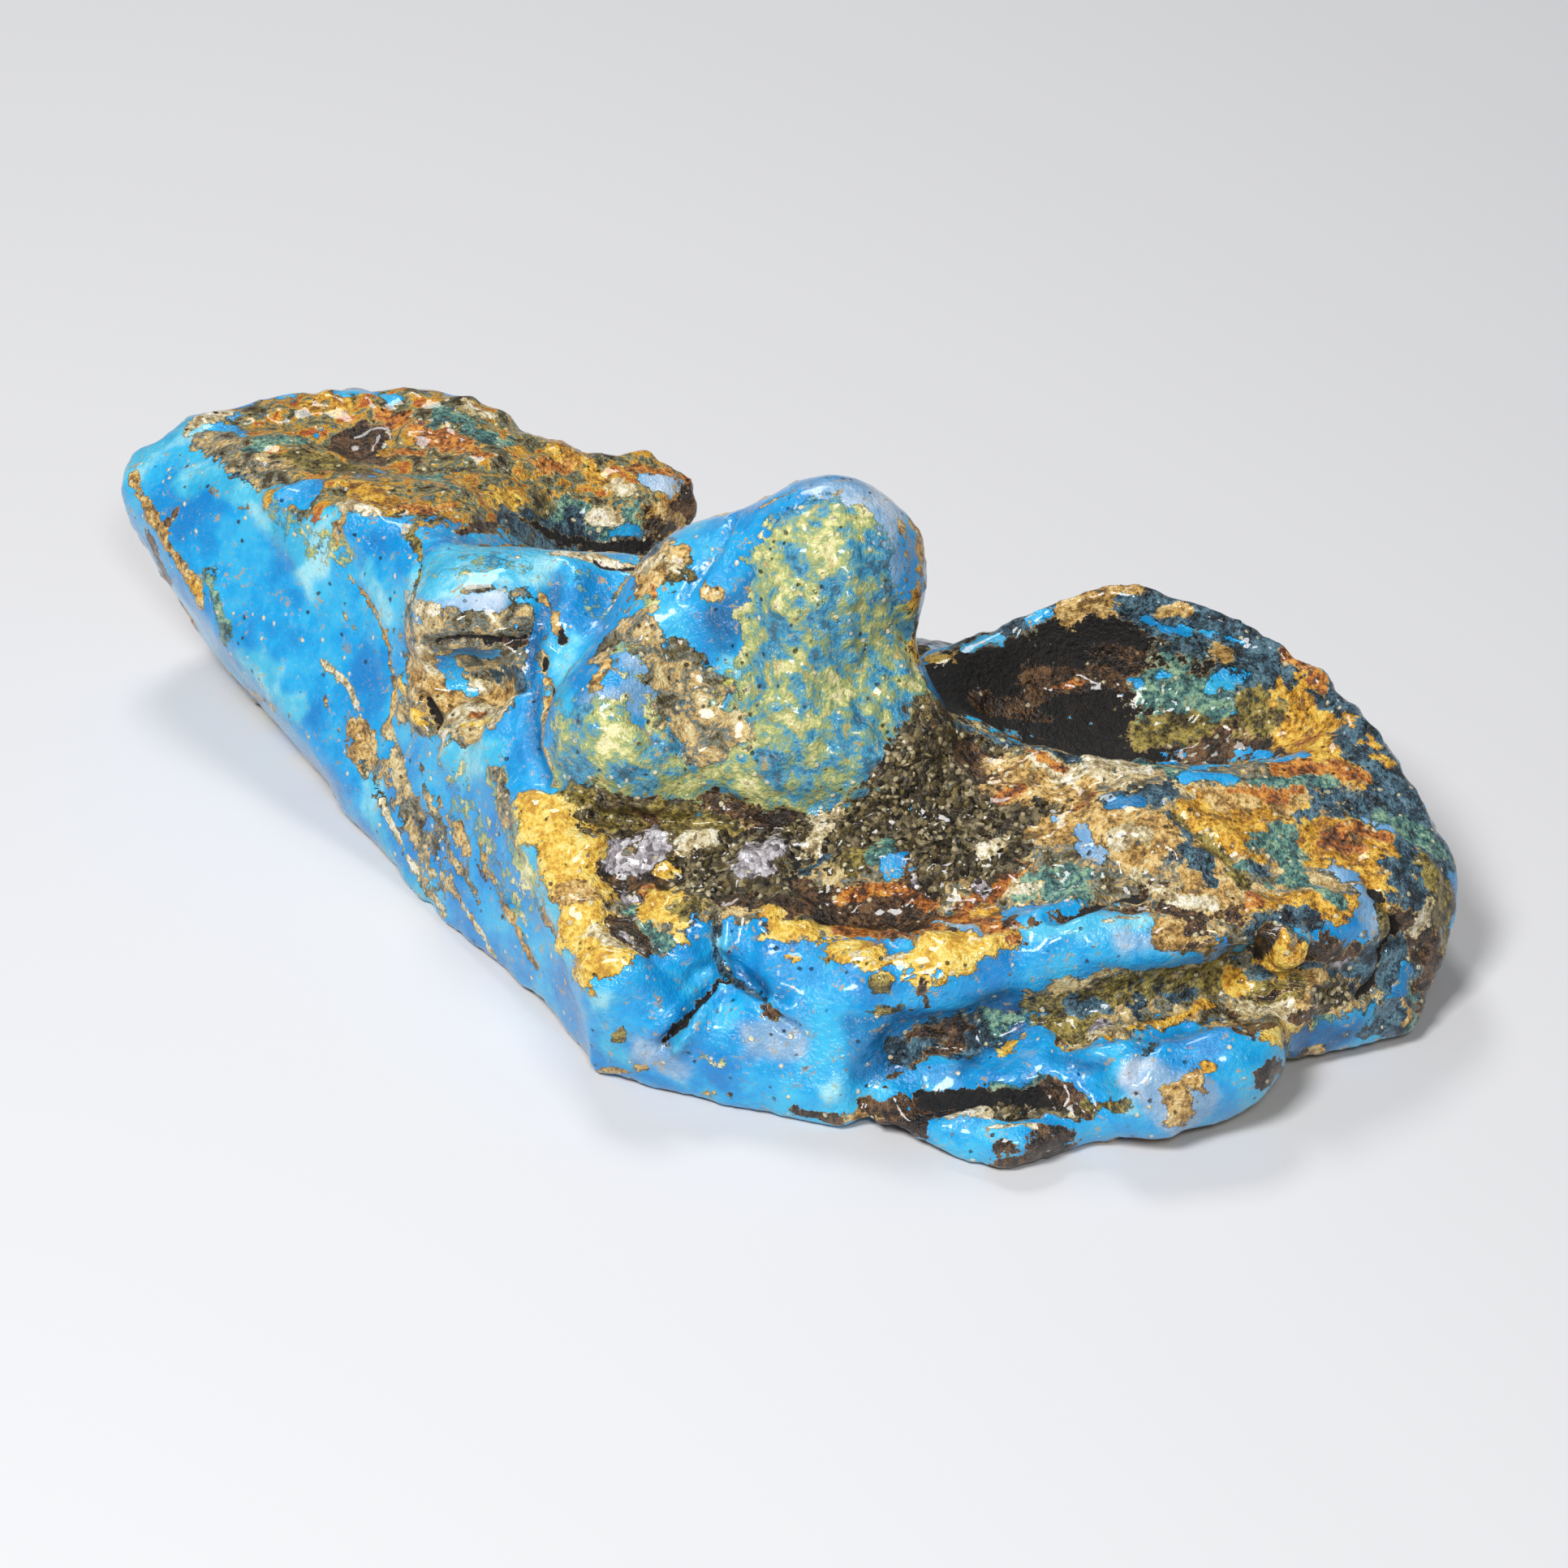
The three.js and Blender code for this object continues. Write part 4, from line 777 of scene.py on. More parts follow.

# The right end
# A blunt end of folded resin. Orange flakes and layers of cream crust stand open over a
# blue band, and dark weathered skin runs down the edge. The lower corner is darkened with
# painted shade.
RIGHT_END = {
    "blue fold": ("lilac", 1.5, 0.4, (1622, 1138), (1650, 1128), (1680, 1130)),
    "fold's bright front": ("azure", 1.0, 0.1, (1610, 1148), (1640, 1150), (1670, 1158)),
    "grey-blue slope": ("slate", 1.0, 0, (1545, 1140), (1570, 1130), (1595, 1125)),
    "dark brown patch": ("brown", 1.3, -0.15, (1445, 1120), (1480, 1130), (1515, 1130)),
    "first orange flake": ("gold", 0.6, 0.9, (1555, 1190), (1566, 1170), (1578, 1150)),
    "behind the first flake": ("brown", 0.4, -0.5, (1548, 1170), (1560, 1152), (1568, 1140)),
    "second orange flake": ("gold", 0.5, 0.7, (1580, 1205), (1588, 1185), (1594, 1165)),
    "behind the second flake": ("brown", 0.35, -0.5, (1604, 1195), (1606, 1178), (1602, 1165)),
    "orange base": ("gold", 0.7, 0.2, (1522, 1214), (1550, 1214), (1590, 1212)),
    "teal in the base": ("slate", 0.4, 0, (1545, 1200), (1556, 1194)),
    "dark sheen": ("slate", 1.1, 0.3, (1625, 1180), (1655, 1185), (1685, 1180)),
    "brown sheen": ("brown", 0.6, 0.2, (1620, 1165), (1650, 1175), (1690, 1165)),
    "crystals in the sheen": ("silver", 0.5, 0.1, (1650, 1184), (1668, 1190)),
    "cream layer": ("cream", 0.7, 0.3, (1535, 1240), (1560, 1250), (1590, 1240), (1612, 1215)),
    "pink layer": ("ochre", 0.5, 0.4, (1600, 1240), (1608, 1215), (1618, 1198)),
    "olive layer": ("olive", 0.6, 0, (1545, 1228), (1575, 1222), (1600, 1216)),
    "groove between the layers": ("brown", 0.14, -0.6, (1545, 1233), (1570, 1226), (1604, 1212)),
    "grey-green lump": ("pepper", 0.9, 0.2, (1640, 1225), (1655, 1232)),
    "brown seat": ("brown", 0.7, -0.1, (1520, 1258), (1540, 1264), (1575, 1270), (1605, 1264)),
    "yellow foot": ("yellow", 0.45, 0.15, (1565, 1278), (1592, 1272), (1615, 1262)),
    "green in the foot": ("teal", 0.35, 0.1, (1618, 1268), (1630, 1262)),
    "blue band": ("deep", 1.0, 0.15, (1600, 1290), (1635, 1275), (1665, 1258)),
    "brown under the band": ("brown", 0.6, -0.1, (1560, 1325), (1585, 1312), (1610, 1300)),
    "ochre in the band": ("ochre", 0.25, 0.05, (1615, 1294), (1628, 1292)),
    # Painted shade: dark slate on the lower corner, which faces away from the light.
    "painted shade on the lower corner": ("slate", 2.2, 0, (1700, 1190), (1728, 1215), (1715, 1250)),
    "teal corner's wash": ("teal", 0.4, 0, (1735, 1215), (1745, 1240), (1735, 1275)),
    "gold flecks of the corner": ("ochre", 0.3, 0.05, (1722, 1225), (1738, 1250), (1728, 1262)),
    "dark edge": ("slate", 2.0, 0, (1730, 1110), (1755, 1150), (1770, 1190)),
    "brown dark edge": ("brown", 1.2, 0, (1745, 1140), (1765, 1180), (1760, 1210)),
    "gold streak of the edge": ("gold", 0.25, 0.15, (1748, 1048), (1770, 1080), (1787, 1106)),
    "cream knots of the edge": ("cream", 0.4, 0.15, (1745, 1145), (1752, 1125), (1760, 1110)),
    "olive edge above": ("olive", 0.9, 0, (1755, 1060), (1772, 1100), (1786, 1150)),
    "teal edge above": ("teal", 0.9, 0, (1735, 1010), (1755, 1035)),
    "deep crease": ("black", 0.3, -0.6, (1700, 1170), (1712, 1155), (1716, 1140)),
    "fold crease": ("black", 0.3, -0.6, (1688, 1100), (1712, 1125), (1722, 1150)),
    "olive spot by the crease": ("olive", 0.6, 0, (1700, 1125), (1706, 1138)),
    # Deep blue, laid darker than the corner's own blue, as painted shade.
    "deep blue with painted shade on the corner": ("deep", 0.5, 0.2, (1668, 1256), (1695, 1240), (1718, 1222), (1732, 1195)),
    "crease round the corner": ("black", 0.2, -0.5, (1672, 1230), (1690, 1208), (1700, 1180)),
}
lay(RIGHT_END)

# The shelf
# The broad front shelf carries grit at the left, a tan dome in the middle and a bright
# mosaic of orange, yellow and green crust at the right.
SHELF = {
    "grit": ("pepper", 3.2, 0, (1140, 950), (1180, 930), (1215, 960), (1180, 1000)),
    "brown grit": ("brown", 0.9, 0, (1190, 930), (1220, 945), (1245, 960)),
    "black grit": ("pepper", 0.5, -0.1, (1085, 1000), (1110, 1010), (1130, 1030)),
    "mixed chips": ("pepper", 1.8, 0.1, (1180, 1060), (1230, 1040), (1270, 1020), (1300, 1005)),
    "cream chips": ("cream", 0.6, 0.25, (1215, 1050), (1232, 1042)),
    "salmon wash": ("ochre", 1.9, 0, (1270, 960), (1310, 965), (1345, 990), (1320, 1020)),
    "cream fringe": ("cream", 0.9, 0.1, (1285, 940), (1330, 950), (1370, 965), (1390, 980)),
    "orange fringe of the grit": ("rust", 0.4, 0.05, (1232, 990), (1255, 975), (1275, 960)),
    "salmon point": ("rust", 0.5, 0.05, (1330, 995), (1345, 985)),
    "blue lake": ("slate", 0.9, -0.1, (1370, 985), (1400, 980), (1435, 974)),
    "blue lake's heart": ("deep", 0.5, 0, (1372, 988), (1395, 984)),
    "lilac streaks": ("lilac", 0.6, 0, (1332, 1025), (1345, 1040), (1355, 1055)),
    "lilac chip": ("lilac", 0.4, 0, (1300, 1010), (1312, 1018)),
    "tan dome": ("ochre", 1.8, 0, (1390, 1030), (1430, 1040), (1470, 1060), (1500, 1085)),
    "cream crown": ("cream", 0.4, 0.05, (1375, 1030), (1395, 1022), (1415, 1030)),
    "slate on the dome": ("slate", 0.7, 0, (1462, 1052), (1480, 1062), (1492, 1080)),
    "slate notch above": ("slate", 0.5, -0.15, (1445, 1005), (1458, 1015), (1468, 1025)),
    "cream hem of the dome": ("cream", 0.35, 0.15, (1400, 1080), (1425, 1098), (1455, 1108), (1490, 1112)),
    "olive side of the dome": ("olive", 0.6, 0, (1500, 1050), (1518, 1075), (1530, 1095)),
    "groove by the dome": (
        "olive", 0.35, -0.5, (1455, 1002), (1480, 1022), (1500, 1040), (1520, 1062), (1537, 1090)),
    "bright yellow sheet": ("gold", 1.1, 0.15, (1490, 1008), (1525, 1020), (1560, 1018), (1600, 1005)),
    "sheet's orange top": ("ochre", 1.2, 0.1, (1500, 985), (1540, 985), (1580, 990)),
    "rust on the sheet": ("rust", 0.5, 0, (1515, 975), (1550, 978), (1580, 985)),
    "green ring": (
        "teal", 0.5, 0.1, (1540, 1045), (1558, 1040), (1575, 1052), (1588, 1068),
        (1578, 1085), (1560, 1090)),
    "green eye": ("teal", 0.4, 0.1, (1528, 1065), (1536, 1072)),
    "small green ring": ("teal", 0.3, 0.05, (1597, 1050), (1604, 1052)),
    "violet in the ring": ("slate", 0.35, 0, (1545, 1072), (1555, 1076)),
    "orange field": ("gold", 1.7, 0.1, (1620, 1040), (1660, 1050), (1700, 1070)),
    "orange depth of the field": ("rust", 0.6, 0, (1625, 1042), (1655, 1045), (1680, 1052)),
    "green sheet": ("teal", 0.8, 0, (1580, 1030), (1600, 1060), (1600, 1085)),
    "rust ridge": ("rust", 0.7, 0.3, (1642, 1024), (1670, 1022), (1705, 1032)),
    "ridge's pale edge": ("lilac", 0.3, 0.2, (1682, 1012), (1700, 1020), (1712, 1030)),
    "grey-blue chip": ("lilac", 0.7, 0.15, (1640, 1072), (1660, 1080)),
    "slate right of the field": ("slate", 0.8, 0, (1718, 1070), (1730, 1085), (1738, 1098)),
    "lower orange lumps": (
        "gold", 0.7, 0.2, (1545, 1115), (1580, 1110), (1605, 1105), (1630, 1118), (1655, 1118)),
    "rust by the lumps": ("rust", 0.5, 0.1, (1540, 1100), (1550, 1115)),
    "teal among the lumps": ("teal", 0.45, 0, (1632, 1105), (1645, 1112)),
    "grey-blue by the bowl": ("slate", 0.9, 0, (1612, 1005), (1635, 1000)),
    "dark teal by the bowl": ("slate", 1.0, 0, (1640, 985), (1670, 985), (1700, 1000)),
    "teal far right": ("teal", 0.9, 0, (1715, 1010), (1735, 1030)),
}
lay(SHELF)

# The bowl
# An open hollow behind the shelf. Its inside is nearly black, its far rim blue and green,
# and its right wall glows gold and rust.
BOWL = {
    "black floor": ("black", 3.6, 0, (1170, 860), (1240, 860), (1300, 880), (1380, 900)),
    "black back": ("black", 2.8, 0, (1330, 790), (1380, 780), (1430, 795), (1445, 815)),
    "black left": ("black", 2.6, 0, (1150, 840), (1200, 830), (1260, 815), (1310, 800)),
    "brown middle": ("brown", 0.8, 0.1, (1280, 850), (1320, 835), (1370, 835)),
    "rust glints": ("rust", 0.2, 0, (1290, 850), (1330, 842)),
    "green wall": ("teal", 1.6, 0, (1430, 850), (1465, 840), (1490, 870)),
    "olive floor": ("olive", 1.0, 0, (1410, 915), (1450, 905), (1490, 915)),
    "brown floor": ("brown", 1.7, 0, (1500, 920), (1550, 905), (1600, 925)),
    "blue spots": ("azure", 0.5, 0, (1428, 835), (1440, 832)),
    "bright blue spot": ("azure", 0.8, 0, (1495, 845), (1520, 832)),
    "gold upper wall": ("gold", 1.1, 0, (1580, 850), (1600, 860)),
    "olive wall": ("olive", 1.2, 0, (1530, 865), (1560, 885)),
    "gold right wall": ("gold", 1.8, 0, (1600, 900), (1640, 920), (1680, 935)),
    "gold's rusty depths": ("rust", 0.5, 0, (1600, 915), (1625, 905)),
    "rust foot of the wall": ("rust", 1.0, 0, (1600, 948), (1640, 950), (1690, 958)),
    "left rim": ("slate", 0.9, 0, (1130, 790), (1170, 786), (1210, 780)),
    "yellow stripe": ("yellow", 0.6, 0, (1128, 806), (1155, 812), (1185, 812)),
    "blue on the left rim": ("azure", 0.45, 0, (1200, 795), (1222, 785)),
    "lilac glints": ("lilac", 0.35, 0, (1232, 790), (1250, 780), (1282, 778)),
    "azure rim": ("azure", 0.4, 0, (1270, 765), (1290, 755), (1305, 755)),
    "ochre crown": ("ochre", 0.9, 0, (1310, 740), (1350, 732), (1390, 735)),
    "teal-blue rim": ("slate", 1.4, 0, (1410, 750), (1450, 765), (1500, 785), (1550, 800)),
    "blue in the rim": ("azure", 0.25, 0, (1410, 765), (1440, 775), (1490, 780), (1530, 790)),
    "ochre spots of the rim": ("ochre", 0.4, 0, (1430, 755), (1460, 752)),
    "ochre spot right": ("ochre", 0.5, 0, (1495, 800), (1510, 805)),
    "salmon rim": ("rust", 0.4, 0.1, (1580, 803), (1600, 815), (1618, 828)),
    "salmon rim lower": ("rust", 0.35, 0.1, (1622, 835), (1630, 850)),
    "dark outer wall": ("slate", 1.0, 0, (1660, 905), (1690, 945), (1722, 980)),
    "front lip": ("slate", 0.35, 0.15, (1160, 890), (1210, 903), (1275, 926), (1340, 938), (1400, 940)),
    "front lip, right": (
        "teal", 0.4, 0.15, (1400, 942), (1450, 955), (1500, 960), (1560, 963), (1640, 962)),
    "salmon on the lip": ("rust", 0.35, 0.1, (1272, 930), (1290, 940), (1308, 946)),
    "cream on the lip": ("cream", 0.5, 0.15, (1345, 945), (1385, 948), (1410, 955)),
    "blue on the lip": ("azure", 0.5, 0.1, (1462, 958), (1485, 958), (1510, 962)),
    "brown smudge": ("brown", 0.7, 0.1, (1200, 865), (1240, 870), (1285, 885)),
    "brown smudge at the back": ("brown", 0.6, 0.1, (1345, 800), (1375, 808), (1400, 822)),
}
lay(BOWL)

# The skin's relief
# Crust stands proud and is rough, grit is grainy, moss is beaded, and clean resin only
# ripples. Sizes and heights are in mm.
GRIT_SIZE = 0.9
GRIT_HEIGHT = 0.32
BEAD_SIZE = 1.5
BEAD_HEIGHT = 0.45
CRUST_HEIGHT = 0.34
CRUST_GRAIN_HEIGHT = 0.14
SWELL_HEIGHT = 0.35
RIPPLE_HEIGHT = 0.10
FINE_RIPPLE_HEIGHT = 0.04
RESTING_HEIGHT = 0.05  # below it a point lies on the table and doesn't move
gritty_skin = cover["pepper"] + 0.6 * cover["silver"] + 0.3 * cover["brown"]
clean_skin = sum(cover[finish] for finish in CLEAN)
crusted_skin = 1 - clean_skin - cover["black"] - cover["moss"] * 0.5
rise += GRIT_HEIGHT * gritty_skin * (grains(GRIT_SIZE) - 0.5)
rise += BEAD_HEIGHT * cover["moss"] * (grains(BEAD_SIZE, 1) - 0.5)
rise += CRUST_HEIGHT * crusted_skin * uneven(1.6, 4, 31)
rise += CRUST_GRAIN_HEIGHT * crusted_skin * uneven(0.8, 2, 32)
rise += SWELL_HEIGHT * cover["medley"] * uneven(2.6, 4, 33)
rise += RIPPLE_HEIGHT * clean_skin * uneven(4.0, 2, 34)
rise += FINE_RIPPLE_HEIGHT * clean_skin * uneven(1.2, 2, 35)
rise = spread(rise, 1)
moved = places + outwards * rise[:, None]
on_table = places[:, 2] < RESTING_HEIGHT
moved[on_table] = places[on_table]
moved[:, 2] = np.maximum(moved[:, 2], 0)
lump_mesh.vertices.foreach_set("co", (moved * MM).ravel())
lump_mesh.shade_smooth()

# The blues melt into each other. A crust is held together with all that lie over it, so that no
# gap opens at a border.
blues = clean_skin + 1e-6
together = np.zeros(count)
for finish in reversed(FINISHES):
    together = together + cover[finish]
    held = lump_mesh.attributes.new(finish, "FLOAT", "POINT")
    kept = spread(cover[finish] / blues, 4) if finish in CLEAN else together
    held.data.foreach_set("value", kept)
lump_mesh.update()


class Value:
    """A socket of a node tree, so that shader maths reads as plain arithmetic."""

    def __init__(self, skin, socket):
        self.skin = skin
        self.socket = socket

    def maths(self, operation, first, second):
        return self.skin.node("ShaderNodeMath", {"operation": operation}, {0: first, 1: second})

    def __add__(self, other):
        return self.maths("ADD", self, other)

    def __radd__(self, other):
        return self.maths("ADD", other, self)

    def __sub__(self, other):
        return self.maths("SUBTRACT", self, other)

    def __rsub__(self, other):
        return self.maths("SUBTRACT", other, self)

    def __mul__(self, other):
        return self.maths("MULTIPLY", self, other)

    def __rmul__(self, other):
        return self.maths("MULTIPLY", other, self)


class Skin:
    """A material whose nodes are made by one method."""

    def __init__(self, name):
        self.material = bpy.data.materials.new(name)
        self.material.use_nodes = True
        self.tree = self.material.node_tree
        self.tree.nodes.clear()

    def node(self, kind, settings, sockets, out=0):
        made = self.tree.nodes.new(kind)
        for name, value in settings.items():
            if name == "stops":
                ramp = made.color_ramp
                while len(ramp.elements) < len(value):
                    ramp.elements.new(0.5)
                for element, (place, colour) in zip(ramp.elements, value):
                    element.position = place
                    element.color = colour
            else:
                setattr(made, name, value)
        for name, value in sockets.items():
            if isinstance(value, Value):
                self.tree.links.new(value.socket, made.inputs[name])
            else:
                made.inputs[name].default_value = value
        return Value(self, made.outputs[out]) if made.outputs else None

    def noise(self, place, scale, detail, roughness=0.55, distortion=0.0):
        return self.node("ShaderNodeTexNoise", {}, {
            "Vector": place, "Scale": scale, "Detail": detail, "Roughness": roughness,
            "Distortion": distortion})

    def between(self, value, low, high):
        """0 below low and 1 above high."""
        settings = {"interpolation_type": "SMOOTHSTEP"}
        return self.node("ShaderNodeMapRange", settings, {"Value": value, "From Min": low, "From Max": high})

    def blend(self, share, under, over):
        return self.node("ShaderNodeMix", {"data_type": "RGBA"}, {0: share, 6: under, 7: over}, 2)


def linear(tone):
    """A tone given from 0 to 255 as the shader's own colour."""
    shares = [v / 255 for v in tone]
    return (*[v / 12.92 if v < 0.04045 else ((v + 0.055) / 1.055) ** 2.4 for v in shares], 1)


# The resin and its crust
# Wet-looking resin with a clear coat, mottled in each finish's tones. The borders between
# finishes are frayed, and specks, pits and crevices darkened with painted shade lie over all
# of them.
# The scales of the noise are per mm.
FLECK_TONE = (186, 156, 98)
VEIN_TONE = (150, 126, 84)
CREVICE_SHADE_TONE = (40, 30, 18)
SPECK_AND_GLINT_TONE = (236, 224, 180)
PIT_TONE = (30, 26, 22)
GRAIN_CELLS = 2.6
SPECK_CELLS = 1.25
AMBER_IOR = 1.54
COAT = 0.45
COAT_ROUGHNESS = 0.06
BUMP_STRENGTH = 0.9
BUMP_HEIGHT = 0.2 * MM

skin = Skin("amber_skin")
place = skin.node("ShaderNodeTexCoord", {}, {}, "Object")
in_mm = skin.node("ShaderNodeVectorMath", {"operation": "SCALE"}, {0: place, "Scale": 1 / MM})
warp = skin.node("ShaderNodeTexNoise", {}, {"Vector": in_mm, "Scale": 0.28, "Detail": 3.0}, "Color")
flow = skin.node("ShaderNodeVectorMath", {"operation": "MULTIPLY_ADD"}, {0: warp, 1: (5, 5, 5), 2: in_mm})
broad = skin.noise(flow, 0.22, 2.0, 0.5)
mottle = skin.noise(in_mm, 0.8, 4.0, 0.68, 0.3)
fray = skin.noise(in_mm, 1.2, 4.0, 0.7)
fine = skin.noise(in_mm, 3.0, 3.0, 0.65)
mosaic = skin.noise(in_mm, 0.55, 5.0, 0.78, 0.4)
moss_field = skin.noise(flow, 0.4, 4.0, 0.65)
moss_share = skin.between(moss_field * 0.6 + fray * 0.4, 0.36, 0.64)
clean_share = skin.between(broad * 0.7 + mottle * 0.3, 0.3, 0.7)
tone_share = skin.between(mottle * 0.6 + fine * 0.4, 0.38, 0.62)
mosaic_share = skin.between(mosaic, 0.36, 0.64)
grain_cells = {"Vector": in_mm, "Scale": GRAIN_CELLS}
grain_tone = skin.node("ShaderNodeTexVoronoi", {}, grain_cells, "Color")
grain_gap = skin.node("ShaderNodeTexVoronoi", {}, grain_cells, "Distance")

shares = {}
colour = None
for finish, tones in FINISHES.items():
    toned = tone_share
    if finish in GRAINY:
        toned = grain_tone
    elif finish in MIXED:
        toned = mosaic_share
    elif finish == "moss":
        toned = moss_share
    elif finish in CLEAN:
        toned = clean_share
    stops = [(0.04 + 0.92 * i / (len(tones) - 1), linear(tone)) for i, tone in enumerate(tones)]
    layer_colour = skin.node("ShaderNodeValToRGB", {"stops": stops}, {"Fac": toned})
    if colour is None:
        colour = layer_colour
        continue
    held = skin.node("ShaderNodeAttribute", {"attribute_name": finish}, {}, "Fac")
    if finish in CLEAN:
        shares[finish] = skin.between(held + (mottle - 0.5) * 0.7, 0.1, 0.9)
    else:
        shares[finish] = skin.between(held + (fray - 0.5) * 2.4, 0.42, 0.58)
    colour = skin.blend(shares[finish], colour, layer_colour)
crusted = shares["teal"]
clean = 1 - crusted
dull = shares["black"] * (1 - shares["pepper"])

# Tan flecks and veins in the clean resin, painted shade in the crevices of the crust.
fleck_field = skin.noise(flow, 1.6, 3.0, 0.6)
fleck = skin.between(fleck_field, 0.60, 0.64) * skin.between(mottle, 0.46, 0.56) * clean
colour = skin.blend(fleck * 0.75, colour, linear(FLECK_TONE))
vein_field = skin.noise(flow, 0.5, 2.0, 0.5, 1.5)
vein_gap = skin.node("ShaderNodeMath", {"operation": "ABSOLUTE"}, {0: vein_field - 0.5})
vein = (1 - skin.between(vein_gap, 0.004, 0.016)) * skin.between(mottle, 0.5, 0.6) * clean
colour = skin.blend(vein * 0.6, colour, linear(VEIN_TONE))
relief = fray * 0.55 + fine * 0.45
rind = shares["yellow"] - shares["lime"]
# Painted shade: the crust is darkened where its bump relief is low.
painted_crevice_shade = (1 - skin.between(relief, 0.38, 0.50)) * crusted * (1 - rind * 0.85)
colour = skin.blend(painted_crevice_shade * 0.5, colour, linear(CREVICE_SHADE_TONE))

# Specks and pits: each cell of the field is a cream speck, a dark pit or neither. The cream
# specks are partly real flecks and partly painted glints.
speck_cells = {"Vector": in_mm, "Scale": SPECK_CELLS}
speck_gap = skin.node("ShaderNodeTexVoronoi", {}, speck_cells, "Distance")
speck_kind = skin.node("ShaderNodeTexVoronoi", {}, speck_cells, "Color")
mossy = shares["moss"]
often = skin.between(mottle, 0.5, 0.62) * 0.06 + mossy * 0.22 - crusted * 0.04
is_speck_and_glint = skin.between(speck_kind + often, 0.71, 0.75)
speck_and_glint = (1 - skin.between(speck_gap + (fine - 0.5) * 0.5, 0.12, 0.24)) * is_speck_and_glint * (1 - dull)
is_pit = 1 - skin.between(speck_kind - often, 0.24, 0.28)
pit = (1 - skin.between(speck_gap + (fine - 0.5) * 0.4, 0.08, 0.2)) * is_pit
colour = skin.blend(speck_and_glint * 0.85, colour, linear(SPECK_AND_GLINT_TONE))
colour = skin.blend(pit * 0.85, colour, linear(PIT_TONE))

gritty = shares["pepper"]
roughness = 0.12 + crusted * 0.16 + (fine - 0.5) * 0.2 + dull * 0.45
bumps = fine * 0.9 + fray * 0.4 + mossy * relief * 0.9 + crusted * relief * 1.5 + speck_and_glint * 0.5 - pit * 1.2
bumps = bumps - gritty * grain_gap * 1.6
bump_sockets = {"Strength": BUMP_STRENGTH, "Distance": BUMP_HEIGHT, "Height": bumps}
normal = skin.node("ShaderNodeBump", {}, bump_sockets, "Normal")
surface_look = skin.node("ShaderNodeBsdfPrincipled", {}, {
    "Base Color": colour, "Roughness": roughness, "Normal": normal,
    "IOR": AMBER_IOR, "Coat Weight": COAT - dull * COAT, "Coat Roughness": COAT_ROUGHNESS})
skin.node("ShaderNodeOutputMaterial", {}, {"Surface": surface_look})
lump_mesh.materials.clear()
lump_mesh.materials.append(skin.material)
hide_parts("amber")
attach(lump, "root")

# The grit
# Grains of sand and broken crystal that stuck in the crust, under the knob and on the shelf.
# They are too many to set by hand, so they are scattered where the grit's finish is thick.
GRAIN_RADIUS = 0.22 * MM
GRAINS_PER_MM2 = 5.0
LOWEST_GRAIN = 1.5  # mm above the table
GRIME_TONE = (70, 60, 46)
GRIME_SCALE = 4 / MM
QUARTZ_IOR = 1.54
THICK_GRIT = (0.55, 0.8)  # cover at which the first grains stick, and at which all do
WELL_SEEN = (0.3, 0.8)
GRIT_TONES = (
    (12, 10, 8), (32, 27, 18), (60, 51, 32), (86, 74, 44),
    (106, 92, 56), (134, 118, 76), (188, 174, 138))

grit_look = Skin("grit")
tone = grit_look.node("ShaderNodeAttribute", {"attribute_name": "tone"}, {}, "Fac")
grit_stops = [((i + 0.01) / len(GRIT_TONES), linear(step)) for i, step in enumerate(GRIT_TONES)]
grit_colour = grit_look.node("ShaderNodeValToRGB", {"stops": grit_stops}, {"Fac": tone})
grit_place = grit_look.node("ShaderNodeTexCoord", {}, {}, "Object")
grit_noise = grit_look.noise(grit_place, GRIME_SCALE, 3.0)
grit_colour = grit_look.blend((grit_noise - 0.35) * 0.8, grit_colour, linear(GRIME_TONE))
grit_surface = grit_look.node("ShaderNodeBsdfPrincipled", {}, {
    "Base Color": grit_colour, "Roughness": 0.18 + grit_noise * 0.2, "IOR": QUARTZ_IOR})
grit_look.node("ShaderNodeOutputMaterial", {}, {"Surface": grit_surface})

thick_grit = slope(cover["pepper"], *THICK_GRIT) * slope(1 - hidden, *WELL_SEEN)
held = lump_mesh.attributes.new("grit", "FLOAT", "POINT")
held.data.foreach_set("value", thick_grit * (places[:, 2] > LOWEST_GRAIN))


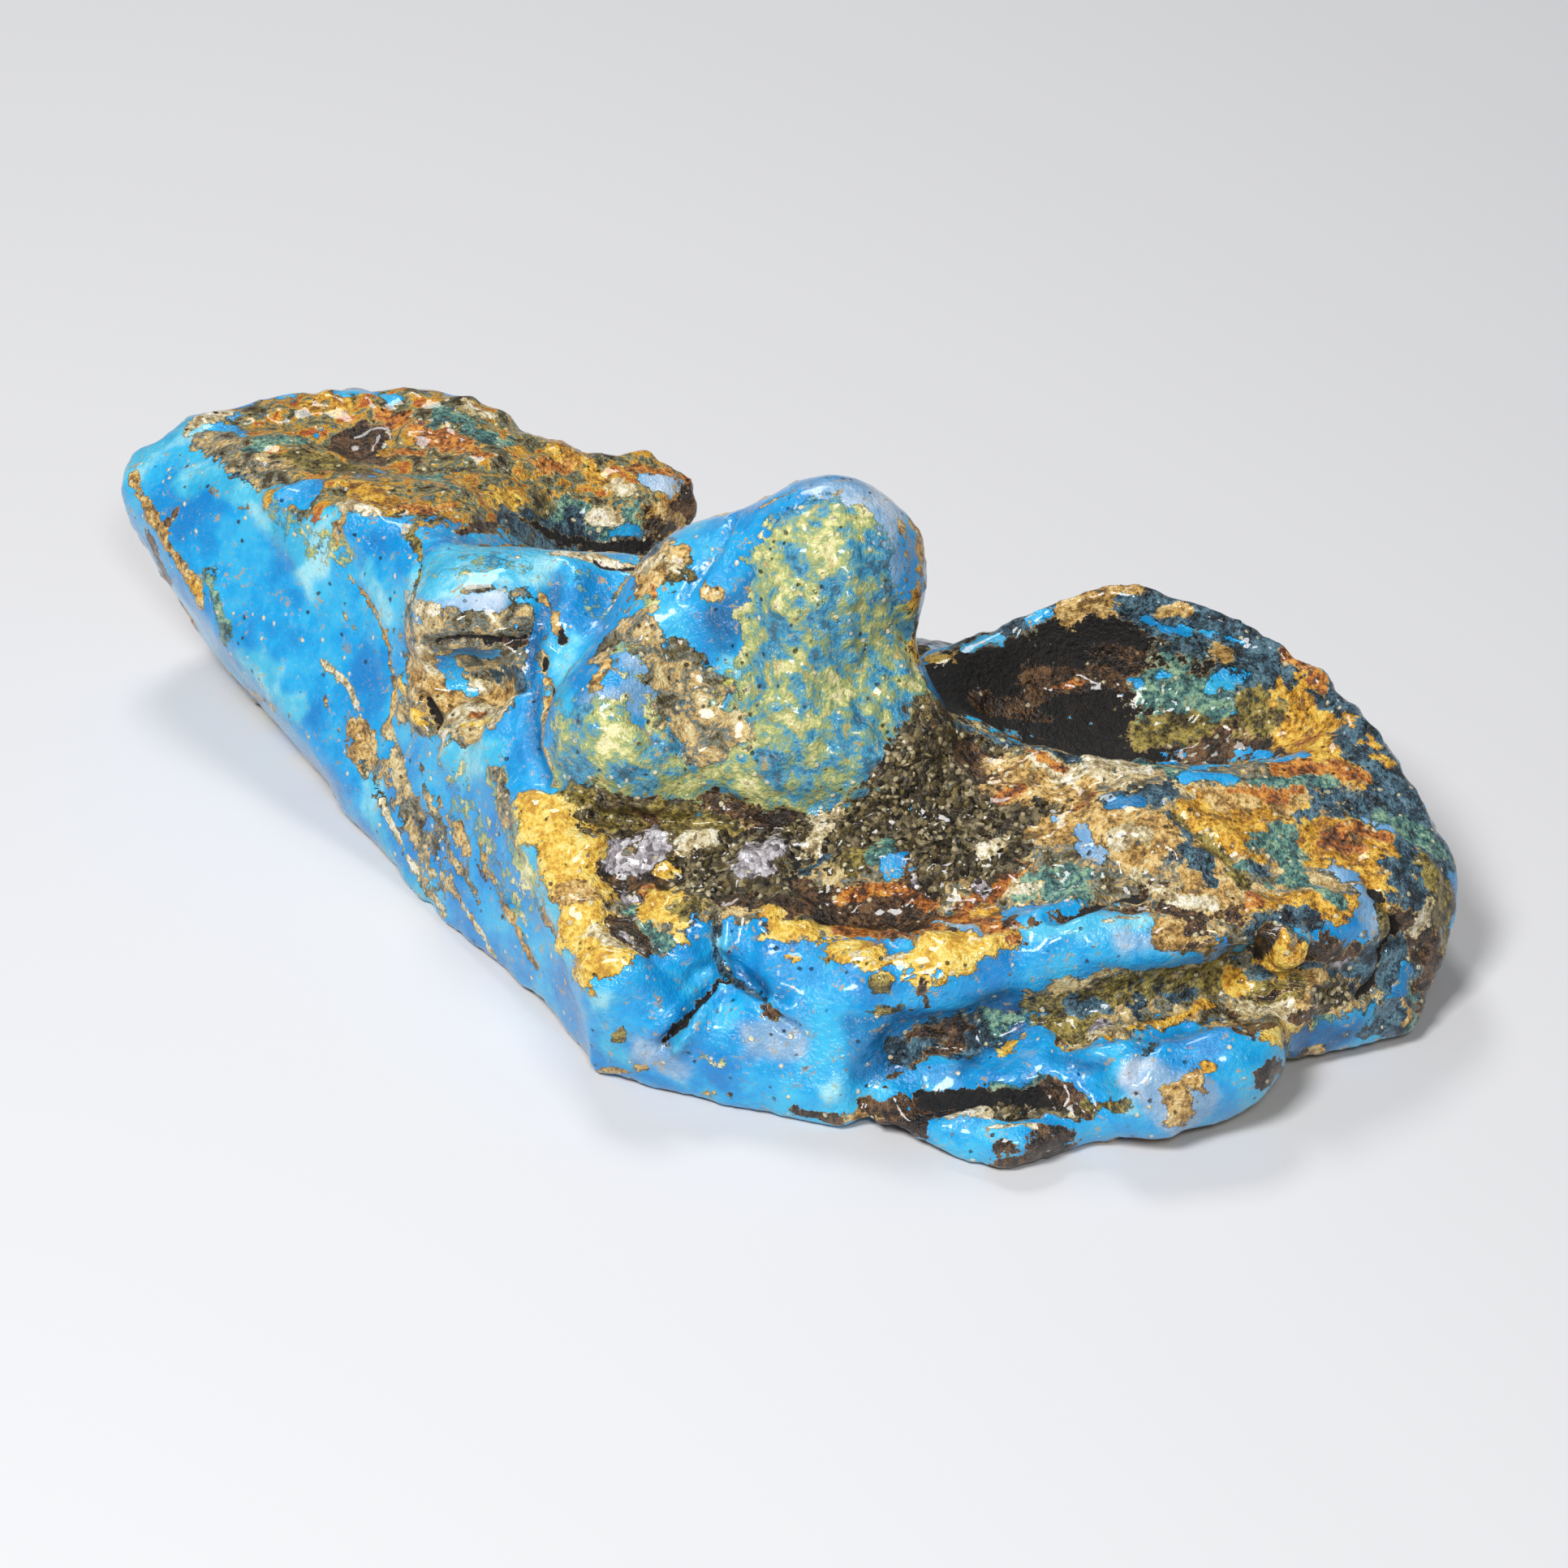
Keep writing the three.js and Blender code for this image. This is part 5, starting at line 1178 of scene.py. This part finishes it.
def scattering():
    """Small faceted grains stood at random on the grit, each with a tone of its own."""
    tree = bpy.data.node_groups.new("scattered_grains", "GeometryNodeTree")
    tree.interface.new_socket("Geometry", in_out="INPUT", socket_type="NodeSocketGeometry")
    for name, kind in (("Radius", "Float"), ("Density", "Float"), ("Seed", "Int")):
        tree.interface.new_socket(name, in_out="INPUT", socket_type=f"NodeSocket{kind}")
    tree.interface.new_socket("Geometry", in_out="OUTPUT", socket_type="NodeSocketGeometry")

    def node(kind, settings, sockets):
        made = tree.nodes.new(kind)
        for name, value in settings.items():
            setattr(made, name, value)
        for name, value in sockets.items():
            if isinstance(value, bpy.types.NodeSocket):
                tree.links.new(value, made.inputs[name])
            else:
                made.inputs[name].default_value = value
        return made

    given = node("NodeGroupInput", {}, {}).outputs
    weight = node("GeometryNodeInputNamedAttribute", {"data_type": "FLOAT"}, {"Name": "grit"})
    density = node("ShaderNodeMath", {"operation": "MULTIPLY"}, {
        0: weight.outputs["Attribute"], 1: given["Density"]}).outputs[0]
    points = node("GeometryNodeDistributePointsOnFaces", {}, {
        "Mesh": given["Geometry"], "Density": density, "Seed": given["Seed"]}).outputs["Points"]
    grain = node("GeometryNodeMeshIcoSphere", {}, {
        "Radius": given["Radius"], "Subdivisions": 1}).outputs["Mesh"]
    turn = node("FunctionNodeRandomValue", {"data_type": "FLOAT_VECTOR"}, {"Max": (6.3, 6.3, 6.3), "Seed": 3})
    size = node("FunctionNodeRandomValue", {"data_type": "FLOAT_VECTOR"}, {
        "Min": (0.5, 0.5, 0.4), "Max": (1.7, 1.3, 1.0), "Seed": 4})
    placed = node("GeometryNodeInstanceOnPoints", {}, {
        "Points": points, "Instance": grain, "Rotation": turn.outputs[0], "Scale": size.outputs[0]})
    tone_of = node("FunctionNodeRandomValue", {"data_type": "FLOAT"}, {"Seed": 5})
    toned = node("GeometryNodeStoreNamedAttribute", {"data_type": "FLOAT", "domain": "INSTANCE"}, {
        "Geometry": placed.outputs[0], "Name": "tone", "Value": tone_of.outputs[1]})
    real = node("GeometryNodeRealizeInstances", {}, {"Geometry": toned.outputs[0]})
    dressed = node("GeometryNodeSetMaterial", {}, {
        "Geometry": real.outputs[0], "Material": grit_look.material})
    node("NodeGroupOutput", {}, {"Geometry": dressed.outputs[0]})
    return tree


bed = in_scene("grit_bed", lump_mesh.copy())
scatter = bed.modifiers.new("grains", "NODES")
scatter.node_group = scattering()
wanted = {"Radius": GRAIN_RADIUS, "Density": GRAINS_PER_MM2 / MM**2, "Seed": 7}
for item in scatter.node_group.interface.items_tree:
    if item.name in wanted:
        scatter[item.identifier] = wanted[item.name]
grit_grains = in_scene("crust_grains", mesh_of(bed))
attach(grit_grains, "root")

# The table and the light
# A pale sheet to lie on, one soft lamp from the upper left as in the photograph, weaker ones
# from the front and the back, and a pale room.
HALF_TABLE = 2.0
TABLE_TONE = (214, 214, 216)
TABLE_ROUGHNESS = 0.7
ROOM_COLOUR = (0.9, 0.93, 1.0, 1)
ROOM_LIGHT = 0.12

table_mesh = bpy.data.meshes.new("table")
corners = [(x * HALF_TABLE, y * HALF_TABLE, 0) for x, y in ((-1, -1), (1, -1), (1, 1), (-1, 1))]
table_mesh.from_pydata(corners, [], [(0, 1, 2, 3)])
table = in_scene("table", table_mesh)
paper = Skin("pale_table")
sheet_look = paper.node("ShaderNodeBsdfPrincipled", {}, {
    "Base Color": linear(TABLE_TONE), "Roughness": TABLE_ROUGHNESS})
paper.node("ShaderNodeOutputMaterial", {}, {"Surface": sheet_look})
table_mesh.materials.append(paper.material)

# name: strength in watts, size in metres, azimuth and height in degrees, distance in metres
LAMPS = {
    "key": (1.6, 0.12, -35, 56, 0.45),
    "front": (0.7, 0.08, 8, 46, 0.5),
    "back": (0.8, 0.12, -165, 52, 0.5),
}
for name, (strength, size, azimuth, height, distance) in LAMPS.items():
    lamp_data = bpy.data.lights.new(name, "AREA")
    lamp_data.energy = strength
    lamp_data.size = size
    lamp = in_scene(name, lamp_data)
    across = math.radians(azimuth)
    up = math.radians(height)
    away = Vector((math.sin(across) * math.cos(up), -math.cos(across) * math.cos(up), math.sin(up)))
    lamp.location = away * distance
    lamp.rotation_mode = "QUATERNION"
    lamp.rotation_quaternion = away.to_track_quat("Z", "Y")

room = bpy.data.worlds.new("room")
room.use_nodes = True
room_light = room.node_tree.nodes["Background"].inputs
room_light["Color"].default_value = ROOM_COLOUR
room_light["Strength"].default_value = ROOM_LIGHT
bpy.context.scene.world = room
bpy.context.scene.view_settings.view_transform = "Standard"
